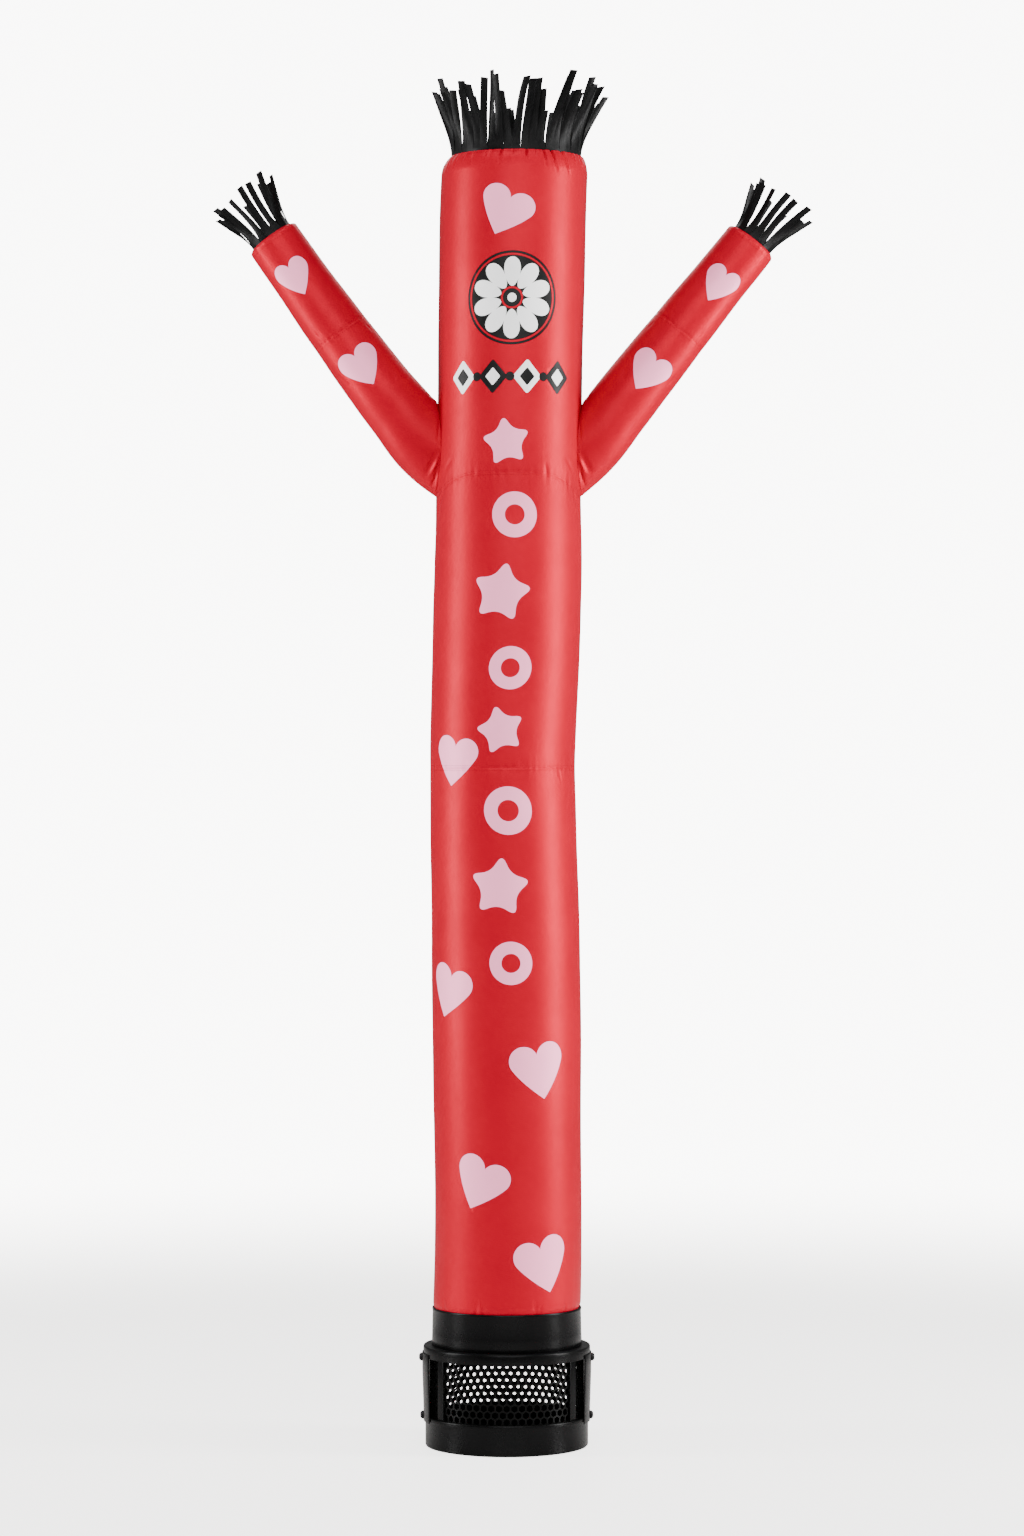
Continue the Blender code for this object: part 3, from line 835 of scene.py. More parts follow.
@dataclass(frozen=True)
class NylonFinish:
    """Coated nylon, bare or printed: satin gloss over a fine plain weave."""

    name: str
    colour: Colour
    roughness: float = 0.37
    coat: float = 0.02
    weave_depth: float = 0.00012
    patchiness: float = 0.05
    gloss: float = 0.10
    gloss_tint: Colour = (1.0, 0.10, 0.12)
    lustre: float = 0.22  # share of the light that the fibres throw back in their own colour
    threads: float = 1500.0

    @cached_property
    def material(self) -> Material:
        """The finished material."""
        made = Shading(
            self.name, self.colour, Roughness=self.roughness, Metallic=self.lustre,
            Coat_Weight=self.coat, Coat_Roughness=0.28,
            Specular_IOR_Level=self.gloss, Specular_Tint=(*self.gloss_tint, 1),
        )
        weave = made.weave(self.threads)
        patches = made.patches(9.0, 1 - self.patchiness, 1 + self.patchiness)
        between = made.math("MULTIPLY_ADD", weave.outputs["Shade"], -0.10, 1.04)
        made.shade(made.times(patches, between))
        rub = made.patches(23.0, self.roughness - 0.04, self.roughness + 0.05)
        made.feed(made.shader, {"Roughness": rub})
        made.bump(weave.outputs["Height"], self.weave_depth, 0.5)
        return made.material


@dataclass(frozen=True)
class RibbonFinish:
    """The black satin strips of a fringe, with fine lines along each strip."""

    name: str
    colour: Colour
    roughness: float = 0.40
    gloss: float = 0.10
    lines: float = 1500.0

    @cached_property
    def material(self) -> Material:
        """The finished material."""
        sheen = {"Roughness": self.roughness, "Specular_IOR_Level": self.gloss}
        made = Shading(self.name, self.colour, **sheen)
        made.shade(made.patches(60.0, 0.75, 1.30))
        rub = made.patches(45.0, self.roughness - 0.06, self.roughness + 0.10)
        made.feed(made.shader, {"Roughness": rub})
        made.bump(made.weave(self.lines).outputs["Height"], 0.00015, 0.6)
        return made.material


@dataclass(frozen=True)
class CoatFinish:
    """Satin black powder coat on sheet metal, with a little dust where it faces up."""

    name: str
    colour: Colour
    roughness: float
    grains: float = 900.0
    dust: float = 0.015
    gloss: float = 0.045
    skin: float = 0.05  # weight of the clear skin that picks out the rolled edges
    skin_roughness: float = 0.16

    @cached_property
    def material(self) -> Material:
        """The finished material."""
        made = Shading(
            self.name, self.colour, Roughness=self.roughness, Specular_IOR_Level=self.gloss,
            Coat_Weight=self.skin, Coat_Roughness=self.skin_roughness,
        )
        feeds = {"Place": made.place(), "Grains per Metre": self.grains}
        grain = made.node("ShaderNodeGroup", feeds, node_tree=grain_group()).outputs
        patches = made.patches(18.0, 0.85, 1.18)
        dusty = made.math("MULTIPLY_ADD", grain["Dust"], self.dust / 0.005, 1.0)
        made.shade(made.times(patches, dusty))
        worn = made.times(patches, self.roughness)
        made.feed(made.shader, {"Roughness": made.math("MULTIPLY_ADD", grain["Dust"], 0.5, worn)})
        made.bump(grain["Height"], 0.00025, 0.35)
        return made.material


class Wardrobe:
    """Every finish of the dancer."""

    def __init__(self) -> None:
        """Makes the finishes; cloth has each ink's, and then one for the inside and the cut edges."""
        black, edge = (0.004, 0.004, 0.004), (0.20, 0.0, 0.005)
        white, grey = (1.0, 1.0, 1.0), (0.94, 0.94, 0.94)
        inks = {
            Ink.BARE: NylonFinish("red_nylon", (0.40, 0.0, 0.014)),
            Ink.PINK: NylonFinish(
                "pink_print", (1.0, 0.34, 0.53), 0.46, 0.02, 0.00008, 0.02, 0.20, (1.0, 0.6, 0.7), 0.08
            ),
            Ink.WHITE: NylonFinish("white_print", grey, 0.46, 0.02, 0.00008, 0.02, 0.30, white, 0.0),
            Ink.BLACK: NylonFinish("black_print", black, 0.44, 0.02, 0.00008, 0.10, 0.12, white, 0.0),
            Ink.DARK_RED: NylonFinish("print_edge", edge, 0.46, 0.05, 0.00008, 0.02),
        }
        lining = NylonFinish("red_nylon_inside", (0.32, 0.0, 0.008), 0.55, 0.0, lustre=0.05)
        self.cloth = [finish.material for finish in [inks[ink] for ink in Ink] + [lining]]
        self.ribbon = RibbonFinish("black_ribbon", (0.002, 0.002, 0.0021)).material
        coat = CoatFinish("black_powder_coat", (0.0018, 0.0018, 0.0019), 0.27)
        grille = CoatFinish("black_grille_coat", (0.002, 0.002, 0.002), 0.36, 1200.0, 0.01)
        bolts = CoatFinish("blackened_bolt", (0.006, 0.006, 0.0065), 0.30, 1500.0, 0.02)
        self.coat, self.mesh_coat, self.bolt_metal = (f.material for f in (coat, grille, bolts))
        thread = Shading("red_thread", (0.26, 0.0, 0.006), Roughness=0.6, Specular_IOR_Level=0.1)
        thread.shade(thread.patches(700.0, 0.75, 1.15))
        self.thread = thread.material


# ---- meshes and objects
class Shape:
    """A mesh under construction; layout holds the place of each vertex on the flat cloth."""

    def __init__(self, cloth: bool = False):
        """Starts empty.

        Args:
            cloth: whether the flat layout becomes a UV map.
        """
        self.mesh = bmesh.new()
        self.flat = self.mesh.loops.layers.uv.new("flat") if cloth else None
        self.layout: dict[Vert, Sequence[float]] = {}

    def ring(self, points: Iterable[Sequence[float]], flat: Iterable[Sequence[float]] = ()) -> list[Vert]:
        """Adds vertices.

        Args:
            points: where they lie in space.
            flat: where they lie on the flat cloth.

        Returns:
            The vertices.
        """
        made = [self.mesh.verts.new(point) for point in points]
        self.layout.update(zip(made, flat))
        return made

    def face(self, corners: Sequence[Vert]) -> bmesh.types.BMFace:
        """Adds a face, with its corners' places on the flat cloth.

        Args:
            corners: its vertices in order.

        Returns:
            The face.
        """
        made = self.mesh.faces.new(corners)
        for loop in made.loops:
            if loop.vert in self.layout:
                loop[self.flat].uv = self.layout[loop.vert]
        return made

    def bridge(self, rings: Sequence[Sequence[Vert]], ends: bool = False) -> None:
        """Joins each ring to the next with quads.

        Args:
            rings: rings of equal length.
            ends: whether the first and the last one are filled.
        """
        for low, high in zip(rings, rings[1:]):
            for here in range(len(low)):
                there = (here + 1) % len(low)
                self.face((low[here], low[there], high[there], high[here]))
        if ends:
            self.mesh.faces.new(rings[0][::-1])
            self.mesh.faces.new(rings[-1])

    def close(self, name: str, turn_out: bool = False) -> Object:
        """Ends the mesh and puts it into the scene.

        Args:
            name: the object's name.
            turn_out: whether the faces of a closed form still have to be turned outwards.

        Returns:
            The object, at the origin.
        """
        if turn_out:
            bmesh.ops.recalc_face_normals(self.mesh, faces=self.mesh.faces)
        mesh = bpy.data.meshes.new(name)
        self.mesh.to_mesh(mesh)
        self.mesh.free()
        return add_object(name, mesh)


def add_object(name: str, data: bpy.types.ID) -> Object:
    """Puts a mesh, a light or a camera into the scene at the origin.

    Args:
        name: the object's name.
        data: what it shows.

    Returns:
        The object.
    """
    made = bpy.data.objects.new(name, data)
    bpy.context.scene.collection.objects.link(made)
    return made


def thicken(made: Object, thickness: float, rim: int = 0) -> None:
    """Puts a wall inside an object's surface.

    Args:
        made: the object.
        thickness: of the wall.
        rim: what is added to the material number on its inside and its edges.
    """
    wall = made.modifiers.new("wall", "SOLIDIFY")
    wall.thickness = thickness
    wall.offset = -1
    wall.material_offset = wall.material_offset_rim = rim


def complete(
    made: Object, materials: Sequence[Material], nodes: Sequence[str] = (), sharp: float = 32.0
) -> Object:
    """Turns an object's modifiers into its plain mesh, finishes it and fastens it to the frame.

    Args:
        made: the piece.
        materials: its finish, in the order of its faces' material numbers.
        nodes: the frame's nodes that it stands for.
        sharp: the least angle in degrees of an edge that isn't shaded smooth.

    Returns:
        The piece.
    """
    for material in materials:
        made.data.materials.append(material)
    if made.modifiers:
        depsgraph = bpy.context.evaluated_depsgraph_get()
        finished = bpy.data.meshes.new_from_object(
            made.evaluated_get(depsgraph), preserve_all_data_layers=True, depsgraph=depsgraph
        )
        made.modifiers.clear()
        made.data = finished
        finished.name = made.name
    mesh = made.data
    if len(materials) == 1:
        mesh.materials.clear()
        mesh.materials.append(materials[0])
        mesh.polygons.foreach_set("material_index", [0] * len(mesh.polygons))
    mesh.shade_smooth()
    mesh.set_sharp_from_angle(angle=radians(sharp))
    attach(made, "root")
    if nodes:
        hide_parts(*nodes)
    LOG.info("%s: %d faces", made.name, len(mesh.polygons))
    return made


# ---- cloth
@dataclass
class ClothPanel:
    """One cut piece of cloth, closed to a tube by a seam at the back."""

    name: str
    node: str
    surface: ClothSurface
    low: float
    high: float
    prints: list[Print] = field(default_factory=list)
    holes: list[list[Flat]] = field(default_factory=list)
    columns: int = 150
    fine_columns: int = 380  # near its ends
    row_pitch: float = 0.0075
    end_pitch: float = 0.0025
    end_reach: float = 0.020
    clearance: float = 0.0011  # no other point lies this close to a print's outline
    lap: float = 0.0  # how far the upper edge runs on under the next panel
    lap_slope: float = 0.0016
    fold_pitch: float = 0.0004
    fold_reach: float = 0.0  # the rows are this close together up to here, where folds are bunched

    def _point(self, u: float, v: float) -> Vector:
        """Where a point of the panel lies, its lap sunk under the next panel."""
        sunk = (CLOTH + SEAM_GAP) * smooth_step((v - self.high) / self.lap_slope)
        return self.surface.point(u, v, -sunk)

    def _rows(self) -> list[float]:
        """Places of the rows along the panel, closer together near its ends."""
        rows = [self.low]
        while rows[-1] < self.high:
            from_low = rows[-1] - self.low
            from_end = min(from_low, self.high - rows[-1])
            pitch = self.end_pitch if from_end < self.end_reach else self.row_pitch
            rows.append(rows[-1] + (self.fold_pitch if from_low < self.fold_reach else pitch))
        rows[-1] = self.high
        if rows[-1] - rows[-2] < 0.4 * self.end_pitch:
            rows.pop(-2)
        if self.lap:
            rows += [self.high + self.lap_slope * step / 4 for step in range(1, 5)] + [self.high + self.lap]
        return rows

    def _outlines(self) -> list[Outline]:
        """Material number and outline of each print on this panel, with -1 for a hole."""
        numbers = {ink: number for number, ink in enumerate(Ink)}
        found = [(numbers[item.ink], item.clipped(self.low, self.high)) for item in self.prints]
        return [item for item in found if item[1]] + [(-1, hole) for hole in self.holes]

    def _flat_points(self, outlines: Sequence[Outline]) -> tuple[list[Flat], list[list[int]]]:
        """The points of the flat cloth: its corners, the outlines' and then the rows'.

        Args:
            outlines: what is printed on it or cut out of it.

        Returns:
            The points, and the point numbers of the cloth's edge and of each outline.
        """
        half = pi * self.surface.unroll
        top = self.high + self.lap
        points = [(-half, self.low), (half, self.low), (half, top), (-half, top)]
        faces = [list(range(4))]
        near = KDTree(max(1, sum(len(outline) for _, outline in outlines)))
        for _, outline in outlines:
            faces.append(list(range(len(points), len(points) + len(outline))))
            for point in outline:
                near.insert((*point, 0), len(points))
                points.append(point)
        near.balance()
        rows = self._rows()
        for row in rows:
            near_end = min(row - self.low, self.high - row) < self.end_reach
            columns = self.fine_columns if near_end else self.columns
            for column in range(columns + 1):
                u = -half + 2 * half * column / columns
                at_edge = column in (0, columns) or row in (rows[0], rows[-1])
                if at_edge or not outlines or near.find((u, row, 0))[2] >= self.clearance:
                    points.append((u, row))
        return points, faces

    def build(self, wardrobe: Wardrobe) -> Object:
        """Cuts the panel along every print's outline, makes it a thin wall and fastens it to the frame.

        Args:
            wardrobe: the finishes.

        Returns:
            The finished piece.
        """
        outlines = self._outlines()
        points, faces = self._flat_points(outlines)
        flat = [Vector(point) for point in points]
        found, _, cells, _, _, origins = delaunay_2d_cdt(flat, [], faces, 1, 1e-6, True)
        shape = Shape(cloth=True)
        made = shape.ring((self._point(*point) for point in found), found)
        for cell, origin in zip(cells, origins):
            inks = [outlines[number - 1][0] for number in sorted(origin) if number > 0]
            if origin and -1 not in inks:
                shape.face([made[number] for number in cell]).material_index = inks[-1] if inks else 0
        edge = pi * self.surface.unroll
        seam = [vert for vert, point in zip(made, found) if abs(abs(point.x) - edge) < 1e-6]
        bmesh.ops.remove_doubles(shape.mesh, verts=seam, dist=1e-5)
        loose = [vert for vert in shape.mesh.verts if not vert.link_faces]
        bmesh.ops.delete(shape.mesh, geom=loose, context="VERTS")
        piece = shape.close(self.name)
        thicken(piece, CLOTH, len(Ink))
        return complete(piece, wardrobe.cloth, (self.node,), 45)


@dataclass
class ClothTube:
    """The upright tube: three panels, one above the other, and the crown."""

    wardrobe: Wardrobe
    crown_rise: float = 0.006
    vent: float = 0.045
    crown_steps: int = 128
    crown_levels: int = 10

    RIM_GATHERS = (
        # angle, length, width, depth and tilt, in degrees and millimetres
        (-172, 30, 3, 2, 6), (-161, 20, 2.4, 1.4, -8), (-149, 34, 3.2, 2.2, 4), (-138, 18, 2.4, 1.4, 0),
        (-127, 26, 2.8, 1.9, -10), (-114, 32, 3, 2, 8), (-101, 20, 2.4, 1.5, 0), (-90, 34, 3.2, 2.1, -6),
        (-78, 22, 2.6, 1.6, 10), (-66, 30, 3, 1.9, 8), (-55, 32, 2.8, 2.2, 6), (-46, 18, 2.2, 1.3, -4),
        (-37, 26, 2.6, 1.8, 4), (-25, 16, 2.2, 1.2, 0), (-12, 28, 2.6, 1.9, 2), (-2, 14, 2.2, 1.1, 0),
        (9, 22, 2.4, 1.6, -3), (17, 16, 2.2, 1.2, 0), (25, 32, 2.8, 2.1, -10), (34, 40, 2.8, 2.2, -16),
        (46, 40, 3, 2.1, -20), (56, 22, 2.4, 1.4, -8), (68, 32, 3, 2, -6), (80, 20, 2.4, 1.4, 0),
        (92, 30, 3, 2, 8), (104, 24, 2.6, 1.6, -4), (117, 34, 3, 2.1, 6), (129, 18, 2.4, 1.3, 0),
        (141, 28, 2.8, 1.9, -8), (154, 22, 2.6, 1.6, 4), (166, 32, 3, 2, 0),
    )
    NECK_PUCKERS = (
        # angle, length, width, depth and tilt, in degrees and millimetres
        (-168, 22, 4, 0.9, 0), (-141, 16, 3.2, 0.8, 6), (-112, 24, 4, 1, -5), (-83, 18, 3.4, 0.8, 0),
        (-58, 22, 3.4, 0.8, 4), (-24, 26, 3.2, 1.4, 8), (-19, 18, 2.6, 1, -6), (4, 16, 3, 0.6, 0),
        (22, 28, 3.4, 1.4, -6), (27, 16, 2.6, 0.9, 10), (51, 20, 3.4, 0.8, -4), (84, 24, 4, 0.9, 0),
        (118, 18, 3.4, 0.8, 4), (149, 22, 3.6, 0.9, 0),
    )
    SEAM_TUCKS = (
        # angle, place along in metres, and length, width, depth and tilt
        (-74, 1.038, 30, 3, 0.7, 20), (-34, 1.04, 24, 2.6, 0.6, -15), (14, 1.0585, 26, 2.8, 0.6, 12),
        (52, 1.039, 28, 3, 0.8, -18), (77, 1.062, 30, 3.2, 0.8, 10), (133, 1.04, 26, 3, 0.7, 0),
        (-128, 1.06, 28, 3, 0.7, -8), (-66, 1.489, 50, 4.2, 1.6, 38), (-74, 1.47, 60, 4.8, 1.6, 24),
        (-84, 1.462, 55, 4.6, 1.4, 8), (-56, 1.524, 40, 3.6, 1, 62), (67, 1.489, 50, 4.2, 1.6, -38),
        (75, 1.47, 60, 4.8, 1.6, -24), (85, 1.462, 55, 4.6, 1.4, -8), (57, 1.524, 40, 3.6, 1, -62),
        (-108, 1.474, 52, 4.4, 1.4, -22), (108, 1.474, 52, 4.4, 1.4, 22), (-24, 1.492, 22, 2.6, 0.6, 15),
        (31, 1.509, 24, 2.6, 0.6, -12),
    )
    HEARTS = (
        # angle, place along, width, height, tilt of the tip
        (-6.4, 1.899, 0.085, 0.0735, -23.0), (-41.1, 1.06, 0.083, 0.076, -8.0),
        (-50.5, 0.706, 0.086, 0.08, -17.0), (25.8, 0.586, 0.09, 0.085, 10.0),
        (-22.5, 0.414, 0.088, 0.08, -22.0), (28.8, 0.289, 0.09, 0.085, 15.0),
    )
    MOTIFS = (
        # angle, place along, size, tilt; stars and rings by turns
        (-2, 1.548, 0.078, 8), (5, 1.437, 0.07, 0), (-5, 1.318, 0.096, -10), (4, 1.203, 0.066, 0),
        (-2, 1.108, 0.078, 14), (4, 0.985, 0.074, 0), (-4, 0.868, 0.096, -6), (4, 0.752, 0.066, 0),
    )

    @cached_property
    def surface(self) -> TubeSurface:
        """The tube with all of its creases."""
        reliefs: list[Relief] = [
            Swell(0.0007, 2, 0.62, 0.7),
            Swell(0.0004, 3, 0.27, 2.1),
            SeamPucker(WAIST_SEAM, 0.0005, 0.007, (31, 47, 67), 3),
            SeamPucker(CHEST_SEAM, 0.0006, 0.008, (29, 43, 61), 4),
            SeamPucker(HEAD_RIM, 0.0011, 0.008, CROWN_WAVES, 5, 0.0),
            SeamPucker(NECK_LINE - 0.0015, 0.0003, 0.006, (25, 39, 57), 6, 0.0),
            Crease(180, 1.09, 3.0, 0.004, -0.0006),
        ]
        for angle, *sizes, tilt in self.RIM_GATHERS:
            length, width, depth = (size / MM for size in sizes)
            middle = HEAD_RIM - length / 2
            ends = (tilt, Deepest.UPPER_END)
            reliefs.append(Crease(angle, middle, length, 0.68 * width, 2.1 * depth, *ends))
            reliefs.append(Crease(angle + 1.8, middle, 1.1 * length, 0.8 * width, -0.5 * depth, *ends))
        for angle, *sizes, tilt in self.NECK_PUCKERS:
            length, width, depth = (size / MM for size in sizes)
            middle = NECK_LINE + length / 2
            reliefs.append(Crease(angle, middle, length, width, depth, tilt, Deepest.LOWER_END))
        for angle, along, *sizes, tilt in self.SEAM_TUCKS:
            reliefs.append(Crease(angle, along, *(size / MM for size in sizes), tilt))
        return TubeSurface(tuple(reliefs))

    @cached_property
    def prints(self) -> list[Print]:
        """Everything that is printed on the tube."""
        stencil = Stencil(TUBE_UNROLL)
        made: list[Print] = []
        for heart in self.HEARTS:
            made += stencil.heart(*heart)
        for number, motif in enumerate(self.MOTIFS):
            made += stencil.motif(Motif.RING if number % 2 else Motif.STAR, *motif)
        return made + Emblem().prints(stencil)

    def build(self, holes: list[list[Flat]]) -> None:
        """Args:
            holes: outlines of the holes that open into the arms.
        """
        head_sizes = {"columns": 180, "fine_columns": 520, "row_pitch": 0.006, "end_pitch": 0.0019}
        for name, low, high, sizes in (
            ("lower", HEM_FOOT, WAIST_SEAM, {"end_reach": 0.055, "lap": 0.007}),
            ("middle", WAIST_SEAM, CHEST_SEAM, {"end_reach": 0.030, "lap": 0.007}),
            ("head", CHEST_SEAM, HEAD_RIM, {"end_reach": 0.046, "holes": holes, **head_sizes}),
        ):
            names, ends = (f"cloth_{name}", f"panel_{name}"), (low + HALF_GAP, high - HALF_GAP)
            panel = ClothPanel(*names, self.surface, *ends, self.prints, **sizes)
            panel.build(self.wardrobe)
        crown = self._crown()

    def _crown(self) -> Object:
        """The domed disc on top, with its vent, as a thin wall."""
        shape = Shape(cloth=True)
        rings = []
        pucker = SeamPucker(CROWN_RADIUS, 0.0009, 0.007, CROWN_WAVES, 8, 0.0)
        for level in range(self.crown_levels + 1):
            share = level / self.crown_levels
            radius = CROWN_RADIUS + (self.vent - CROWN_RADIUS) * share
            height = CROWN_SEAM + self.crown_rise * sin(share * pi / 2)
            ring = []
            for angle in turns(self.crown_steps):
                lift = pucker.relief(angle * TUBE_UNROLL, radius, TUBE_UNROLL)
                ring.append(about_axis(angle, radius, height + lift, HEAD_SWAY))
            rings.append(shape.ring(ring, (point.xy for point in ring)))
        shape.bridge(rings)
        piece = shape.close("cloth_crown")
        thicken(piece, CLOTH)
        return complete(piece, self.wardrobe.cloth[:1], ("crown",), 45)


# ---- fringes
class Strand(NamedTuple):
    """What chance gives one strand of a fringe; curl is its turn about its own length."""

    length: float
    spread: float
    drift: float
    twist: float
    behind: float
    wave: float
    phase: float
    slant: float
    curl: float


@dataclass(frozen=True)
class Fringe:
    """A ring-shaped strip whose strands stand up and spread outwards, cut from one ribbon."""

    name: str
    node: str
    foot: Vector
    up: Vector
    radius: float
    strands: int
    clump: int  # strands that lean together
    shortest: float
    longest: float
    width: float
    spread: float
    pull: float  # how far the strands of a clump are drawn to its middle, in pitches
    seed: int
    blown: float = 0.0  # how far the ends are blown aside
    levels: int = 16
    thin: float = 0.0009
    cup: float = 0.0011  # how far a strand's middle stands out of its edges
    wave: float = 0.0016
    stagger: float = 0.0075  # how far every other strand stands behind its neighbours
    curl: Flat = (30.0, 66.0)  # the most that a strand turns on itself, in front and at the side
    strip: float = STRIP_DEPTH + STRIP_STAND

    def _ways(self, angle: float) -> tuple[Vector, Vector]:
        """The ways outwards and sideways at an angle round the fringe.

        Args:
            angle: from the front, in radians.

        Returns:
            The two ways.
        """
        side = Vector((0, 1, 0)).cross(self.up).normalized()
        front = self.up.cross(side)
        out = side * sin(angle) - front * cos(angle)
        return out, side * cos(angle) + front * sin(angle)

    def _curl(self, angle: float, dice: random.Random) -> float:
        """How far a strand turns about its length; those at the sides turn their flat to the front.

        Args:
            angle: of the strand, from the front.
            dice: where the chance comes from.

        Returns:
            The turn in radians.
        """
        front, side = self.curl
        most = front + (side - front) * abs(sin(angle))
        turn = radians(most * dice.choice((-1, 1)) * dice.uniform(0.6, 1.0))
        return turn if abs(sin(angle)) < 0.4 else copysign(turn, sin(2 * angle))

    def _add_strip(self, shape: Shape) -> None:
        """The closed ring that the strands stand on.

        Args:
            shape: the mesh that it is added to.
        """
        columns = []
        rise = self.up * self.strip
        for angle in turns(4 * self.strands):
            out, _ = self._ways(angle)
            face, back = self.foot + out * self.radius, self.foot + out * (self.radius - STRIP_SHEET)
            columns.append(shape.ring((face, face + rise, back + rise, back)))
        for number, (here, there) in enumerate(zip(columns, columns[1:] + columns[:1])):
            for side in range(4):
                after = (side + 1) % 4
                for loop in shape.face((here[side], there[side], there[after], here[after])).loops:
                    loop[shape.flat].uv = (number * self.radius * tau / len(columns), side * 0.002)

    def _add_strand(self, shape: Shape, number: int, cut: Strand) -> None:
        """One cupped strand with a slanted end.

        Args:
            shape: the mesh that it is added to.
            number: which strand it is.
            cut: what chance gave it.
        """
        out, along = self._ways(number * tau / self.strands)
        root = self.foot + self.up * self.strip + out * (self.radius - STRIP_SHEET / 2)
        root_width = tau * self.radius / self.strands - SEAM_GAP
        rings = []
        for level in range(self.levels + 1):
            share = level / self.levels
            reach = cut.spread * share**1.5 - cut.behind * (1 - (1 - share) ** 2)
            middle = root + self.up * (cut.length * share) + out * reach
            middle += along * cut.drift * share**1.4
            middle.x += self.blown * share**2
            sway = sin(cut.phase + 5.2 * share) - sin(cut.phase)
            middle += along * cut.wave * sway * share
            if level == 0:
                middle -= self.up * 0.5 * STRIP_STAND
            turn = cut.twist * share + cut.curl * smooth_step(1.3 * share)
            flat = along * cos(turn) + out * sin(turn)
            thick = out * cos(turn) - along * sin(turn)
            half = (STRIP_SHEET + (self.thin - STRIP_SHEET) * min(1.0, 2 * share)) / 2 * 0.9
            width = root_width + (self.width - root_width) * smooth_step(3.5 * share)
            cupped = self.cup * smooth_step(3 * share)
            front, back, layout = [], [], []
            for place in (-1.0, -0.5, 0.0, 0.5, 1.0):
                tip = self.up * (cut.slant * place * share**8)
                arch = cupped * (1 - place * place) - 0.5 * cupped
                point = middle + flat * (place * width / 2) + thick * arch + tip
                front.append(point + thick * half)
                back.append(point - thick * half)
                layout.append((place * self.width / 2, share * cut.length))
            rings.append(shape.ring(front + back[::-1], layout + layout[::-1]))
        shape.bridge(rings, ends=True)

    def build(self, wardrobe: Wardrobe) -> None:
        """Args:
            wardrobe: the finishes.
        """
        dice, extra = random.Random(self.seed), random.Random(self.seed + 100)
        pitch = tau / self.strands
        shape = Shape(cloth=True)
        self._add_strip(shape)
        clump_spread = 1.0
        for number in range(self.strands):
            place = number % self.clump
            if place == 0:
                clump_spread = dice.uniform(0.75, 1.25)
            cut = Strand(
                length=dice.uniform(self.shortest, self.longest),
                spread=self.spread * clump_spread * dice.uniform(0.95, 1.05),
                drift=((self.clump - 1) / 2 - place) * self.pull * pitch * self.radius,
                twist=radians(dice.uniform(-12, 12)),
                behind=self.stagger * (number % 2 + 0.35 * (place // 2)),
                wave=self.wave * extra.uniform(0.3, 1.0),
                phase=extra.uniform(0, tau),
                slant=extra.uniform(-0.0008, 0.0008),
                curl=self._curl(number * pitch, extra),
            )
            self._add_strand(shape, number, cut)
        made = shape.close(self.name, turn_out=True)
        complete(made, [wardrobe.ribbon], (self.node,), 40)


